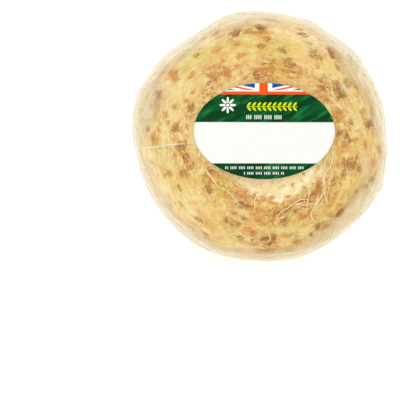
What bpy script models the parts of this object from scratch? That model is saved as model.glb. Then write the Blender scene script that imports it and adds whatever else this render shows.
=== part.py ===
"""A celeriac in clear shrink film, with an oval label over its root end.

It lies on its side on a small flat spot, with its growth axis nearly level. The root end faces -Y,
tipped a little up and turned a little towards +X. Z is up, z = 0 is the surface it lies on, and the
origin is under the middle of its box. Lengths are in metres.

Shapes are worked out in the growth frame, which has its origin in the middle of the root: x to the
right, y up and z out of the root end, as someone sees them who looks at the root end.
"""

import math
import random

import bmesh
import bpy
import numpy as np
from mathutils import Matrix, Vector, noise

MM = 0.001

# The root: a squarish egg, flattened along its growth axis and trimmed at both ends
ROOT_RADIUS = 57.4 * MM
ROOT_END_REACH = 52.0 * MM
ROOT_END_CUT = 49.5 * MM
CROWN_REACH = 55.0 * MM
CROWN_CUT = 46.0 * MM
SQUARENESS = 2.12
CUT_EDGE_ROUNDING = 1.2 * MM

# How it lies: the growth axis rises and turns by these angles, and the weight has pressed a flat spot
AXIS_RISE = math.radians(8.0)
AXIS_TURN = math.radians(8.0)
MIDDLE_HEIGHT = 56.0 * MM

# The outline seen from the root end: angle round the axis, height and spread of each swell or dip
SWELLS = (
    (math.radians(338), 2.5 * MM, math.radians(14)),
    (math.radians(297), 0.9 * MM, math.radians(18)),
    (math.radians(200), -0.9 * MM, math.radians(12)),
    (math.radians(165), 2.2 * MM, math.radians(14)),
    (math.radians(119), -2.2 * MM, math.radians(10)),
    (math.radians(96), 0.8 * MM, math.radians(8)),
    (math.radians(76), -0.7 * MM, math.radians(8)),
)

# Broad lumps, which the film follows, and small ones, which it bridges: lumps per radius, height, shift
BROAD_LUMPS = (2.3, 0.8 * MM, 4.0)
SMALL_LUMPS = (6.0, 0.7 * MM, 2.0)
LUMPS_FADE_BELOW = math.radians(38)
RELIEF_LIMIT = 0.9 * MM
RELIEF_LEFT_ON_CUTS = 0.4

# Rows of old scars ring the growth axis
RING_SPACING = 11.0 * MM
RING_HEIGHT = 0.35 * MM
RING_WAVER = (2.6, 0.055, 9.0)
RING_FADE = 0.1
FIRST_RING = math.radians(30)
LAST_RING = math.radians(138)
SCARS_PER_ROW = 9
FEWEST_SCARS = 4
SCAR_LENGTH = 4.6 * MM
SCAR_WIDTH = 2.6 * MM
SCAR_DEPTH = 1.1 * MM
SCAR_RIM = 0.4 * MM
SCAR_RIM_AT = 1.1
SCAR_SEED = 11

# Bosses where side roots were cut off, close round the root end
BOSSES = 34
BOSS_ZONE = (math.radians(24), math.radians(62))
BOSS_RADIUS = 3.4 * MM
BOSS_HEIGHT = 0.8 * MM
BOSS_SEED = 23

# The viewer stands at -Y, this far above the level: the label and the rootlets are laid out in that view
VIEW_RISE = math.radians(15)

# Rootlets that lie on the skin below the label: millimetres right and up of the middle, in that view
ROOTLETS = (
    ((-25.8, -12.6), (-22.5, -19.6), (-20.2, -22.7), (-14.2, -25.8), (-11.6, -28.8), (-10.2, -33.0)),
    ((-12.3, -18.2), (-10.7, -21.9), (-7.9, -24.2), (-5.7, -24.8)),
    ((-1.8, -25.2), (-1.9, -30.1), (-2.8, -35.1)),
    ((3.4, -37.5), (3.0, -42.1), (4.7, -45.7), (4.9, -48.0), (2.0, -49.4)),
    ((33.5, -5.6), (33.3, -11.3), (30.5, -17.2), (30.3, -23.2), (31.8, -30.8)),
    ((29.5, -23.2), (28.9, -27.2), (24.0, -35.5), (24.8, -39.1), (29.2, -39.4)),
    ((22.7, -21.5), (22.9, -26.2), (22.4, -30.2), (21.5, -36.5)),
    ((23.2, -29.1), (16.6, -30.8), (13.3, -32.6), (10.3, -34.8), (8.8, -37.8)),
    ((21.2, -34.2), (17.2, -32.3), (14.0, -31.8)),
)
ROOTLET_RADIUS = 0.55 * MM
ROOTLET_TIP = 0.6
ROOTLET_STEP = 3.6 * MM
ROOTLET_RIDE = 0.25 * MM
ROOTLET_SINK = 1.5 * MM
HIDDEN_ROOTLETS = 6
HIDDEN_ROOTLET_REACH = (math.radians(19), math.radians(35))
HIDDEN_ROOTLET_CURL = 0.7
HIDDEN_ROOTLET_POINTS = 5
ROOTLET_SEED = 5

# The crown: crescent stubs of leaf stalks in a spiral round short young stalks, all cut off level
STALK_STUBS = 14
FIRST_STUB_RADIUS = 7.5 * MM
STUB_RADIUS_STEP = 1.3 * MM
STUB_ARC_LENGTH = 15.0 * MM
STUB_THICKNESS = 2.0 * MM
STUB_RISE = 0.9 * MM
STUB_POINTS = 6
STUB_WIDEST_SPAN = 1.2
STUB_END = 0.35
GOLDEN_ANGLE = math.radians(137.5)
YOUNG_STALKS = 3
YOUNG_STALK_RADIUS = 2.2 * MM
YOUNG_STALK_OFFSET = 2.9 * MM
YOUNG_STALK_HEIGHT = 3.2 * MM
YOUNG_STALK_SINK = 3.0 * MM
YOUNG_STALK_TAPER = (1.0, 0.85)

# The film: how far its outside stands off the root, and the opening under the flat spot
FILM_STANDOFF = 1.9 * MM
FILM_OVER_ROOTLETS = 0.8 * MM
FILM_OVER_CROWN = 2.6 * MM
ROOTLET_ZONE = (math.radians(58), math.radians(80))
FILM_THICKNESS = 0.35 * MM
FILM_OPENING = math.radians(24.5)

# The label, on the film over the root end, laid out as seen by the viewer
LABEL_WIDTH = 66.6 * MM
LABEL_HEIGHT = 45.4 * MM
LABEL_RIGHT = 2.0 * MM
LABEL_UP = 2.6 * MM
LABEL_GAP = 0.3 * MM
LABEL_THICKNESS = 0.3 * MM

# How near a seen place has to be hit, and points nearer than this are merged
SEEN_WITHIN = 0.01 * MM
MERGE_WITHIN = 0.01 * MM

# Mesh divisions: rings from pole to pole or rim, and segments round
ROOT_GRID = (54, 66)
FILM_GRID = (22, 44)
LABEL_GRID = (5, 36)

GROWTH_AXES = Matrix.Rotation(AXIS_TURN, 3, "Z") @ Matrix.Rotation(math.pi / 2 - AXIS_RISE, 3, "X")
TO_WORLD = np.array(GROWTH_AXES)
DOWN = TO_WORLD.T @ np.array((0.0, 0.0, -1.0))
VIEW_AXES = TO_WORLD.T @ np.array(Matrix.Rotation(math.pi / 2 - VIEW_RISE, 3, "X"))


def smooth_step(low, high, value):
    """0 below low, 1 above high and a smooth rise between."""
    t = np.clip((value - low) / (high - low), 0.0, 1.0)
    return t * t * (3.0 - 2.0 * t)


def unit(vectors):
    """The rows of vectors, each made one long."""
    return vectors / np.linalg.norm(vectors, axis=-1, keepdims=True)


def lumps(directions, kind):
    """Smooth lumps and hollows over the directions, of a kind given as scale, height and shift."""
    scale, height, shift = kind
    offset = Vector((shift, 0.0, 0.0))
    return height * np.array([noise.noise(Vector(way) * scale + offset) for way in directions])


def polar_angle(directions):
    """The angle of each direction from the root end."""
    return np.arccos(np.clip(directions[:, 2], -1.0, 1.0))


def trimmed(reach, axial, cut):
    """reach, cut off by the plane at cut along the axis, with the edge of the cut rounded."""
    facing_away = 0.05
    plane = cut / np.maximum(axial, facing_away)
    soft = CUT_EDGE_ROUNDING
    low = np.minimum(reach, plane)
    return low - soft * np.log(np.exp((low - reach) / soft) + np.exp((low - plane) / soft))


def body_reach(directions, crown_cut):
    """How far the body reaches from its middle in each direction, without its fine relief."""
    axial = directions[:, 2]
    across = np.hypot(directions[:, 0], directions[:, 1])
    turn = np.arctan2(directions[:, 1], directions[:, 0])
    half_depth = np.where(axial > 0, ROOT_END_REACH, CROWN_REACH)
    egg = (np.abs(axial) / half_depth) ** SQUARENESS + (across / ROOT_RADIUS) ** SQUARENESS
    reach = egg ** (-1.0 / SQUARENESS)
    for angle, height, spread in SWELLS:
        away = (turn - angle + math.pi) % (2 * math.pi) - math.pi
        reach = reach + height * across**2 * np.exp(-0.5 * (away / spread) ** 2)
    calm = smooth_step(0.0, LUMPS_FADE_BELOW, np.arccos(np.clip(directions @ DOWN, -1.0, 1.0)))
    reach = reach + calm * lumps(directions, BROAD_LUMPS)
    reach = trimmed(reach, axial, ROOT_END_CUT)
    return trimmed(reach, -axial, crown_cut)


def wavered_angle(directions):
    """The angle from the root end, pushed to and fro so that the rings waver."""
    return polar_angle(directions) + lumps(directions, RING_WAVER)


def scar_places():
    """The middle of each scar, in rows round the growth axis."""
    draw = random.Random(SCAR_SEED)
    step = RING_SPACING / ROOT_RADIUS
    places = []
    polar = FIRST_RING + step / 2
    while polar < LAST_RING:
        count = max(FEWEST_SCARS, round(SCARS_PER_ROW * math.sin(polar)))
        for i in range(count):
            turn = 2 * math.pi * (i + draw.uniform(-0.35, 0.35)) / count + polar
            tilt = polar + draw.uniform(-0.2, 0.2) * step
            across = math.sin(tilt)
            places.append((across * math.cos(turn), across * math.sin(turn), math.cos(tilt)))
        polar += step
    return unit(np.array(places))


def boss_places():
    """The middle of each boss round the root end."""
    draw = random.Random(BOSS_SEED)
    places = []
    for _ in range(BOSSES):
        polar = draw.uniform(*BOSS_ZONE)
        turn = draw.uniform(0.0, 2 * math.pi)
        across = math.sin(polar)
        places.append((across * math.cos(turn), across * math.sin(turn), math.cos(polar)))
    return np.array(places)


def scar_relief(directions):
    """Lens-shaped pits with a raised rim, each drawn out along its ring."""
    relief = np.zeros(len(directions))
    for place in scar_places():
        along = unit(np.cross((0.0, 0.0, 1.0), place))
        over = np.cross(place, along)
        away = (directions - place) * ROOT_RADIUS
        spread = np.hypot(away @ along / SCAR_LENGTH, away @ over / SCAR_WIDTH)
        rim = SCAR_RIM * np.exp(-8.0 * (spread - SCAR_RIM_AT) ** 2)
        pit = SCAR_DEPTH * np.exp(-3.0 * spread**2)
        relief = relief + np.where(directions @ place > 0.9, rim - pit, 0.0)
    return relief


def boss_relief(directions):
    """Low round bosses."""
    relief = np.zeros(len(directions))
    for place in boss_places():
        away = np.linalg.norm(directions - place, axis=1) * ROOT_RADIUS / BOSS_RADIUS
        relief = relief + BOSS_HEIGHT * np.exp(-(away**2))
    return relief


def ring_relief(directions):
    """Low ridges with narrow furrows between them, round the growth axis."""
    angle = wavered_angle(directions)
    phase = angle * ROOT_RADIUS / RING_SPACING
    ridge = RING_HEIGHT * (2.0 * np.abs(np.sin(math.pi * phase)) - 1.0)
    begins = smooth_step(FIRST_RING - RING_FADE, FIRST_RING + RING_FADE, angle)
    ends = 1.0 - smooth_step(LAST_RING - RING_FADE, LAST_RING + RING_FADE, angle)
    return ridge * begins * ends


def root_reach(directions):
    """How far the root's skin is from its middle in each direction."""
    relief = ring_relief(directions) + scar_relief(directions) + boss_relief(directions)
    relief = np.minimum(relief + lumps(directions, SMALL_LUMPS), RELIEF_LIMIT)
    on_cuts = smooth_step(0.86, 0.93, np.abs(directions[:, 2]))
    return body_reach(directions, CROWN_CUT) + relief * (1.0 - (1.0 - RELIEF_LEFT_ON_CUTS) * on_cuts)


def film_reach(directions):
    """How far the film's outside is from the middle of the root in each direction."""
    over_rootlets = 1.0 - smooth_step(*ROOTLET_ZONE, polar_angle(directions))
    standoff = FILM_STANDOFF + FILM_OVER_ROOTLETS * over_rootlets
    return body_reach(directions, CROWN_CUT + FILM_OVER_CROWN) + standoff


def label_reach(directions):
    """How far the label's back is from the middle of the root in each direction."""
    return film_reach(directions) + LABEL_GAP


def set_on_surface(points):
    """points, with those below the surface it lies on drawn in to it: the flat spot."""
    depth = points @ DOWN
    return points * np.where(depth > MIDDLE_HEIGHT, MIDDLE_HEIGHT / depth, 1.0)[:, None]


def seen_at(places, reach):
    """The points of a surface that the viewer sees at the places, given right and up of the middle."""
    out_from_middle = (places**2).sum(axis=1)
    front = np.sqrt(ROOT_RADIUS**2 - out_from_middle)
    slip = ROOT_RADIUS
    while slip > SEEN_WITHIN:
        guess = unit(np.column_stack((places, front)) @ VIEW_AXES.T)
        points = guess * reach(guess)[:, None]
        slip = np.abs(places - points @ VIEW_AXES[:, :2]).max()
        front = np.sqrt((points**2).sum(axis=1) - out_from_middle)
    return points


def polar_directions(rings, segments, span, closed):
    """Directions from the pole at +Z out to the angle span: the pole, the rings and the far pole."""
    directions = [(0.0, 0.0, 1.0)]
    last = rings if closed else rings + 1
    for ring in range(1, last):
        polar = span * ring / rings
        for segment in range(segments):
            turn = 2 * math.pi * segment / segments
            across = math.sin(polar)
            directions.append((across * math.cos(turn), across * math.sin(turn), math.cos(polar)))
    if closed:
        directions.append((0.0, 0.0, -1.0))
    return np.array(directions)


def polar_object(name, points, segments, closed):
    """An object from points in the order that polar_directions gives them."""
    work = bmesh.new()
    verts = [work.verts.new(point) for point in points]
    rings = (len(points) - (2 if closed else 1)) // segments
    loops = [verts[1 + ring * segments : 1 + (ring + 1) * segments] for ring in range(rings)]
    for i in range(segments):
        following = (i + 1) % segments
        work.faces.new((verts[0], loops[0][i], loops[0][following]))
        for near, far in zip(loops, loops[1:]):
            work.faces.new((near[i], far[i], far[following], near[following]))
        if closed:
            work.faces.new((loops[-1][following], loops[-1][i], verts[-1]))
    mesh = bpy.data.meshes.new(name)
    work.to_mesh(mesh)
    work.free()
    mesh.shade_smooth()
    thing = bpy.data.objects.new(name, mesh)
    bpy.context.scene.collection.objects.link(thing)
    return thing


def strand_object(name, points, thickness, taper, bevel=0):
    """A strand through the points, as a mesh. taper scales its thickness, bevel adds sides."""
    curve = bpy.data.curves.new(name, "CURVE")
    curve.dimensions = "3D"
    curve.bevel_depth = thickness
    curve.bevel_resolution = bevel
    curve.use_fill_caps = True
    spline = curve.splines.new("POLY")
    spline.points.add(len(points) - 1)
    for spot, point, scale in zip(spline.points, points, taper):
        spot.co = (*point, 1.0)
        spot.radius = scale
    guide = bpy.data.objects.new(name + "_curve", curve)
    bpy.context.scene.collection.objects.link(guide)
    evaluated = guide.evaluated_get(bpy.context.evaluated_depsgraph_get())
    mesh = bpy.data.meshes.new_from_object(evaluated)
    bpy.data.objects.remove(guide)
    bpy.data.curves.remove(curve)
    weld(mesh)
    return bpy.data.objects.new(name, mesh)


def weld(mesh):
    """Merges points that lie together, so that the mesh is closed and free of slivers, and faces it out."""
    work = bmesh.new()
    work.from_mesh(mesh)
    bmesh.ops.remove_doubles(work, verts=work.verts, dist=MERGE_WITHIN)
    bmesh.ops.recalc_face_normals(work, faces=work.faces)
    work.to_mesh(mesh)
    work.free()


def smooth_line(places, step):
    """Places about step apart along a smooth curve through the given ones (Catmull-Rom)."""
    places = np.array(places)
    ends = np.vstack((2 * places[0] - places[1], places, 2 * places[-1] - places[-2]))
    line = []
    for before, start, end, after in zip(ends, ends[1:], ends[2:], ends[3:]):
        count = max(1, round(np.linalg.norm(end - start) / step))
        for t in np.arange(count) / count:
            swing = (end - before) * t + (2 * before - 5 * start + 4 * end - after) * t**2
            line.append(start + 0.5 * (swing + (3 * start - before - 3 * end + after) * t**3))
    return np.array(line + [places[-1]])


def hidden_lines():
    """Directions along each rootlet that the label hides, round the trimmed root end."""
    draw = random.Random(ROOTLET_SEED)
    lines = []
    for number in range(HIDDEN_ROOTLETS):
        curl = draw.uniform(-HIDDEN_ROOTLET_CURL, HIDDEN_ROOTLET_CURL)
        polar = np.linspace(*HIDDEN_ROOTLET_REACH, HIDDEN_ROOTLET_POINTS)
        turn = 2 * math.pi * number / HIDDEN_ROOTLETS + np.linspace(0.0, curl, HIDDEN_ROOTLET_POINTS)
        across = np.sin(polar)
        lines.append(np.column_stack((across * np.cos(turn), across * np.sin(turn), np.cos(polar))))
    return lines


def rootlet_objects():
    """The rootlets, lying half sunk on the skin with both ends well in."""
    seen = [seen_at(smooth_line(line, ROOTLET_STEP / MM) * MM, root_reach) for line in ROOTLETS]
    hidden = [line * root_reach(line)[:, None] for line in hidden_lines()]
    rootlets = []
    for number, skin in enumerate(seen + hidden):
        out = unit(skin)
        lift = np.full(len(skin), ROOTLET_RIDE)
        lift[0] = lift[-1] = -ROOTLET_SINK
        taper = np.linspace(1.0, ROOTLET_TIP, len(skin))
        points = skin + out * lift[:, None]
        rootlets.append(strand_object(f"rootlet_{number}", points, ROOTLET_RADIUS, taper))
    return rootlets


def stalk_objects():
    """The crescent stubs of the old leaf stalks, and the young stalks in the middle of the crown."""
    stalks = []
    for number in range(STALK_STUBS):
        radius = FIRST_STUB_RADIUS + number * STUB_RADIUS_STEP
        half_span = min(STUB_WIDEST_SPAN, STUB_ARC_LENGTH / radius / 2)
        angles = number * GOLDEN_ANGLE + np.linspace(-half_span, half_span, STUB_POINTS)
        arc = radius * np.column_stack((np.cos(angles), np.sin(angles), np.zeros(STUB_POINTS)))
        toward = unit(arc - np.array((0.0, 0.0, CROWN_CUT)))
        skin = toward * root_reach(toward)[:, None]
        taper = np.sin(np.linspace(STUB_END, math.pi - STUB_END, STUB_POINTS))
        points = skin - np.array((0.0, 0.0, STUB_RISE)) * taper[:, None]
        stalks.append(strand_object(f"stub_{number}", points, STUB_THICKNESS, taper, 1))
    for number in range(YOUNG_STALKS):
        angle = 2 * math.pi * number / YOUNG_STALKS
        foot = Vector((math.cos(angle), math.sin(angle), 0.0)) * YOUNG_STALK_OFFSET
        inside = foot + Vector((0.0, 0.0, -CROWN_CUT + YOUNG_STALK_SINK))
        top = foot + Vector((0.0, 0.0, -CROWN_CUT - YOUNG_STALK_HEIGHT))
        stalk = strand_object(
            f"young_{number}", (inside, top), YOUNG_STALK_RADIUS, YOUNG_STALK_TAPER, 1
        )
        stalks.append(stalk)
    return stalks


def join_repeats(body, repeats):
    """Joins the repeats to the body in one Boolean union, and removes them."""
    group = bpy.data.collections.new("repeats")
    bpy.context.scene.collection.children.link(group)
    for thing in repeats:
        group.objects.link(thing)
    union = body.modifiers.new("join", "BOOLEAN")
    union.operation = "UNION"
    union.operand_type = "COLLECTION"
    union.collection = group
    union.solver = "EXACT"
    evaluated = body.evaluated_get(bpy.context.evaluated_depsgraph_get())
    joined = bpy.data.meshes.new_from_object(evaluated)
    body.modifiers.clear()
    weld(joined)
    body.data = joined
    for thing in repeats:
        bpy.data.objects.remove(thing)
    bpy.data.collections.remove(group)


def make_root():
    """The root: the body with its relief, its rootlets and its crown, in one solid."""
    rings, segments = ROOT_GRID
    directions = polar_directions(rings, segments, math.pi, True)
    points = set_on_surface(directions * root_reach(directions)[:, None])
    root = polar_object("root", points, segments, True)
    join_repeats(root, rootlet_objects() + stalk_objects())
    return root


def make_film():
    """The film: a thin skin round the root, open under the flat spot."""
    rings, segments = FILM_GRID
    upright = polar_directions(rings, segments, math.pi - FILM_OPENING, False)
    directions = upright @ TO_WORLD
    film = polar_object("film", directions * film_reach(directions)[:, None], segments, False)
    skin = film.modifiers.new("thickness", "SOLIDIFY")
    skin.thickness = FILM_THICKNESS
    skin.offset = -1.0
    return film


def make_label():
    """The label: a thin oval that follows the film, with the oval drawn as the viewer sees it."""
    rings, segments = LABEL_GRID
    places = [(LABEL_RIGHT, LABEL_UP)]
    for ring in range(1, rings + 1):
        share = ring / rings
        for segment in range(segments):
            turn = 2 * math.pi * segment / segments
            right = LABEL_RIGHT + share * LABEL_WIDTH / 2 * math.cos(turn)
            up = LABEL_UP + share * LABEL_HEIGHT / 2 * math.sin(turn)
            places.append((right, up))
    label = polar_object("label", seen_at(np.array(places), label_reach), segments, False)
    sheet = label.modifiers.new("thickness", "SOLIDIFY")
    sheet.thickness = LABEL_THICKNESS
    sheet.offset = 1.0
    return label


def paint(thing, colour, roughness, alpha):
    """Gives an object its own plain material."""
    material = bpy.data.materials.new(thing.name)
    material.use_nodes = True
    shader = material.node_tree.nodes["Principled BSDF"]
    shader.inputs["Base Color"].default_value = (*colour, 1.0)
    shader.inputs["Roughness"].default_value = roughness
    shader.inputs["Metallic"].default_value = 0.0
    shader.inputs["Alpha"].default_value = alpha
    thing.data.materials.clear()
    thing.data.materials.append(material)


def stand_on_origin(pieces):
    """Lays the pieces down as one, with the origin under the middle of their box."""
    lying = bpy.data.objects.new("lying", None)
    bpy.context.scene.collection.objects.link(lying)
    lying.matrix_world = Matrix.Translation((0.0, 0.0, MIDDLE_HEIGHT)) @ GROWTH_AXES.to_4x4()
    for piece in pieces:
        piece.parent = lying
    bpy.context.view_layer.update()
    view = bpy.context.evaluated_depsgraph_get()
    corners = []
    for piece in pieces:
        shape = piece.evaluated_get(view)
        corners += [shape.matrix_world @ vertex.co for vertex in shape.data.vertices]
    for axis in range(2):
        along = [corner[axis] for corner in corners]
        lying.location[axis] = -(min(along) + max(along)) / 2


def main():
    """Clears the scene and makes the three pieces."""
    for thing in list(bpy.data.objects):
        bpy.data.objects.remove(thing)
    root = make_root()
    film = make_film()
    label = make_label()
    paint(root, (0.72, 0.52, 0.27), 0.65, 1.0)
    paint(film, (0.95, 0.95, 0.93), 0.15, 0.3)
    paint(label, (0.94, 0.95, 0.91), 0.35, 1.0)
    stand_on_origin((root, film, label))


main()
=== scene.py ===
"""The looks of a celeriac in clear shrink film, with an oval label over its root end.

The root lies on its side on a small flat spot. Shapes are worked out in the growth frame, which has its
origin in the middle of the root: x to the right, y up and z out of the root end, as someone sees them
who looks at the root end. Lengths are in metres and angles in radians, unless a name or a comment says
otherwise. Places that the viewer sees are given in millimetres right and up of the root's middle.
"""

import logging
import math
import random
from collections.abc import Callable, Sequence
from dataclasses import dataclass, field
from enum import Enum
from functools import cached_property, reduce

import bmesh
import bpy
import numpy as np
from mathutils import Matrix, Vector, noise


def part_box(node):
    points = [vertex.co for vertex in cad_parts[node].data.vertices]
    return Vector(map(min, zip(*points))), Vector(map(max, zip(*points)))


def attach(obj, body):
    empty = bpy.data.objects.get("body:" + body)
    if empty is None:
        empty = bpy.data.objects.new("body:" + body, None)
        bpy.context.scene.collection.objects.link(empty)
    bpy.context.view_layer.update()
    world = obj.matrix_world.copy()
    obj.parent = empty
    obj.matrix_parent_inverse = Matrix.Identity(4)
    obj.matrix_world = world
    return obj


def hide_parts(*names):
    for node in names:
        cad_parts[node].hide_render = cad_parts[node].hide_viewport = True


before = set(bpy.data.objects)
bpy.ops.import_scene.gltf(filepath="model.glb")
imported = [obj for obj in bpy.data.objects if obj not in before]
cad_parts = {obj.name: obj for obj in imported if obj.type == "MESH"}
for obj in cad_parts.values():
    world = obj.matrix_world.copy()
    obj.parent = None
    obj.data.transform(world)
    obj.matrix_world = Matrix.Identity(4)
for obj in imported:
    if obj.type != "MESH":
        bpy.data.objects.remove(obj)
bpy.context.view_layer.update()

log = logging.getLogger("celeriac")

MM = 0.001
TURN = 2 * math.pi

Reach = Callable[[np.ndarray], np.ndarray]
Colour = tuple[float, float, float]
Pair = tuple[float, float]
# The places that a line runs through
Line = tuple[Pair, ...]
# Round places: right, up and radius
Rounds = tuple[tuple[float, float, float], ...]
# Oval places: right, up, length along their ring and width
Ovals = tuple[tuple[float, float, float, float], ...]
# The scale, height and shift that the function lumps takes
Lumps = tuple[float, float, float]

# Rootlets that lie on the skin below the label and beside it, in millimetres right and up of the middle
ROOTLETS: tuple[Line, ...] = (
    ((34.2, -6.6), (33.9, -9.1), (33.3, -11.5), (32.4, -14.0), (31.3, -16.0), (30.2, -17.7), (30.1, -19.7),
     (30.2, -23.9), (30.3, -26.4), (30.6, -28.6), (31.6, -30.6), (32.1, -31.1)),
    ((30.2, -23.9), (29.6, -25.9), (27.6, -29.6), (25.6, -32.5), (24.7, -34.0), (23.8, -35.5), (23.9, -37.0),
     (24.9, -38.7), (25.6, -39.5), (27.6, -39.7)),
    ((22.7, -23.9), (22.7, -27.1), (22.4, -29.1), (22.3, -31.3), (21.9, -33.5), (21.4, -36.7)),
    ((23.4, -29.6), (22.2, -29.1), (20.2, -29.1), (18.5, -29.6), (16.8, -30.6), (13.8, -32.6), (10.9, -34.3),
     (9.0, -36.3), (8.7, -38.2), (10.9, -37.7), (12.8, -36.7)),
    ((-25.7, -14.6), (-24.3, -16.5), (-21.4, -20.4), (-20.0, -22.8), (-16.6, -24.7), (-13.7, -26.6),
     (-11.3, -29.0), (-10.1, -31.4), (-10.1, -32.9)),
    ((-1.6, -25.2), (-1.6, -27.6), (-2.4, -30.5), (-2.6, -33.4), (-2.7, -35.3)),
    ((3.2, -41.1), (3.4, -44.0), (4.6, -45.9), (4.9, -47.8), (3.7, -49.0), (0.8, -49.3)),
)

# Hair-fine rootlets among them, given the same way
HAIRS: tuple[Line, ...] = (
    ((32.1, -31.1), (30.6, -31.7), (28.1, -31.3)),
    ((33.3, -5.9), (34.2, -7.6)),
    ((34.3, -3.9), (35.3, -5.6)),
    ((33.3, -11.5), (33.1, -13.5), (32.8, -15.5), (32.1, -17.5), (31.5, -19.9)),
    ((32.8, -15.5), (33.3, -17.0), (32.8, -18.9), (32.1, -20.9), (31.6, -22.2)),
    ((29.1, -26.4), (28.1, -28.3), (26.4, -29.8), (25.3, -31.2)),
    ((27.6, -27.3), (26.6, -29.1), (25.6, -30.3)),
    ((16.8, -30.6), (17.5, -31.8), (19.2, -32.0), (21.2, -32.3), (23.2, -32.2)),
    ((21.7, -30.8), (19.2, -30.8), (17.5, -31.7)),
    ((16.5, -32.5), (18.2, -33.0), (20.0, -33.5), (21.2, -34.0), (22.7, -33.5), (23.9, -34.8)),
    ((14.3, -32.5), (15.5, -33.0), (16.3, -34.0)),
    ((-25.5, -16.5), (-23.3, -18.4), (-20.4, -22.3)),
    ((-20.4, -14.6), (-18.5, -17.0), (-17.1, -18.4)),
    ((-11.3, -20.8), (-10.3, -22.8), (-8.4, -24.2), (-6.5, -25.2)),
    ((-6.5, -28.1), (-5.0, -30.0), (-2.8, -30.5)),
    ((7.0, -37.7), (8.7, -38.7), (9.2, -41.1)),
    ((33.9, -3.2), (33.6, -9.5), (33.1, -15.8), (32.3, -21.3), (29.9, -25.3), (28.7, -27.6)),
    ((31.5, -6.4), (29.9, -13.5), (29.5, -21.3), (30.3, -27.6), (31.9, -31.6)),
    ((35.0, -5.6), (34.6, -11.5), (33.5, -17.4), (31.0, -21.6)),
    ((28.3, -28.8), (25.2, -31.2), (22.0, -32.0), (18.9, -31.2), (16.5, -31.6)),
    ((27.6, -39.3), (29.9, -38.9), (32.3, -38.3)),
    ((13.4, -35.5), (10.2, -37.5), (8.3, -38.7)),
    ((20.9, -29.2), (20.5, -31.2), (19.7, -33.1)),
    ((30.4, -28.6), (28.7, -30.7), (26.6, -32.7), (25.0, -34.2)),
    ((27.5, -25.9), (26.8, -28.0), (26.0, -29.3), (25.1, -30.7)),
    ((27.7, -29.3), (27.0, -30.7), (26.0, -32.4), (25.5, -34.1)),
    ((30.0, -17.5), (29.7, -20.9), (29.3, -24.3), (28.7, -27.3), (27.7, -30.0)),
    ((32.1, -18.8), (32.4, -21.9), (31.7, -25.3), (31.4, -28.6), (30.7, -31.4)),
    ((16.2, -31.7), (19.2, -31.0), (21.9, -30.8), (25.0, -31.4), (27.7, -31.0)),
    ((-24.6, -15.2), (-21.6, -14.8), (-18.2, -16.8), (-14.2, -18.8), (-11.5, -21.9), (-7.4, -24.6)),
    ((-14.2, -19.2), (-12.8, -22.6), (-10.1, -24.6)),
)

# Dark scars of side roots, in millimetres
SCARS: Ovals = (
    (-30.2, 38.0, 2.8, 1.9), (-20.8, 48.4, 4.7, 1.9), (-22.7, 25.3, 5.2, 1.9), (-31.7, 20.5, 1.9, 1.9),
    (-48.2, 19.1, 3.8, 2.4), (-11.8, 48.7, 4.3, 2.8), (-5.7, 49.4, 3.8, 1.4), (0.0, 50.8, 3.8, 1.9),
    (3.3, 45.6, 3.3, 1.4), (0.9, 42.4, 3.3, 1.9), (10.9, 40.4, 3.8, 2.4), (13.5, 33.8, 4.7, 3.8),
    (-1.9, 28.6, 2.4, 3.8), (25.0, 39.0, 4.3, 2.8), (28.8, 37.1, 2.4, 1.4), (33.1, 39.9, 3.3, 2.4),
    (33.5, 37.6, 2.8, 1.9), (36.6, 31.7, 2.8, 1.2), (40.6, 24.8, 4.3, 2.8), (35.0, 23.4, 3.8, 2.8),
    (37.3, 20.5, 5.7, 3.8), (28.3, 22.9, 4.3, 1.9), (28.3, 26.2, 2.8, 1.4), (42.5, 7.3, 3.8, 1.9),
    (51.5, 5.9, 3.8, 2.8), (40.4, 0.2, 2.4, 2.4), (42.3, -1.7, 1.7, 1.7), (36.8, 2.1, 3.8, 2.4),
    (44.9, -11.1, 4.3, 1.4), (41.1, -13.0, 5.2, 4.3), (39.2, -16.8, 4.7, 2.8), (46.1, -14.9, 2.8, 2.4),
    (52.9, -21.0, 4.3, 1.9), (-32.1, 13.2, 4.3, 3.3), (-39.7, 4.0, 4.3, 3.3), (-36.4, -4.3, 4.3, 3.8),
    (-34.5, -10.2, 2.8, 1.9), (-35.4, -16.8, 3.8, 2.4), (-23.4, -15.4, 2.8, 1.9), (7.8, -35.7, 3.8, 1.9),
    (10.9, -39.9, 4.3, 2.8), (1.7, -47.9, 2.8, 1.9), (3.3, -47.7, 1.9, 1.9), (6.4, -47.0, 2.8, 2.4),
    (5.0, -49.8, 3.8, 1.4), (-3.5, -48.2, 1.4, 1.2), (27.4, -24.1, 3.3, 2.4), (34.5, -22.4, 1.9, 1.4),
    (37.3, -35.7, 5.2, 1.9), (33.1, -36.8, 2.4, 1.9), (26.9, -42.0, 3.8, 1.9), (24.1, -46.1, 1.4, 1.2),
    (-3.1, -27.9, 2.8, 1.9), (-6.6, -25.7, 1.4, 1.4), (19.7, 47.7, 5.2, 1.2), (-9.4, -47.1, 2.4, 1.9),
    (-10.2, -40.9, 3.3, 1.4), (22.6, -29.0, 4.5, 2.2), (19.0, -30.2, 3.5, 1.6), (25.4, -26.2, 3.0, 2.4),
    (12.9, -34.2, 3.6, 1.8), (17.2, -34.6, 3.0, 1.6), (-23.9, -24.5, 4.5, 2.6), (-9.0, -31.7, 3.4, 2.4),
    (-5.4, -32.8, 2.6, 1.8), (-8.1, -38.0, 4.0, 1.8), (5.7, 54.4, 8.0, 1.6), (-31.1, 44.2, 4.0, 1.5),
    (-56.2, 12.0, 5.0, 1.0), (-51.5, 22.0, 4.5, 0.9), (-44.2, 34.2, 6.0, 0.8), (-53.0, 3.5, 3.0, 1.2),
)

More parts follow.
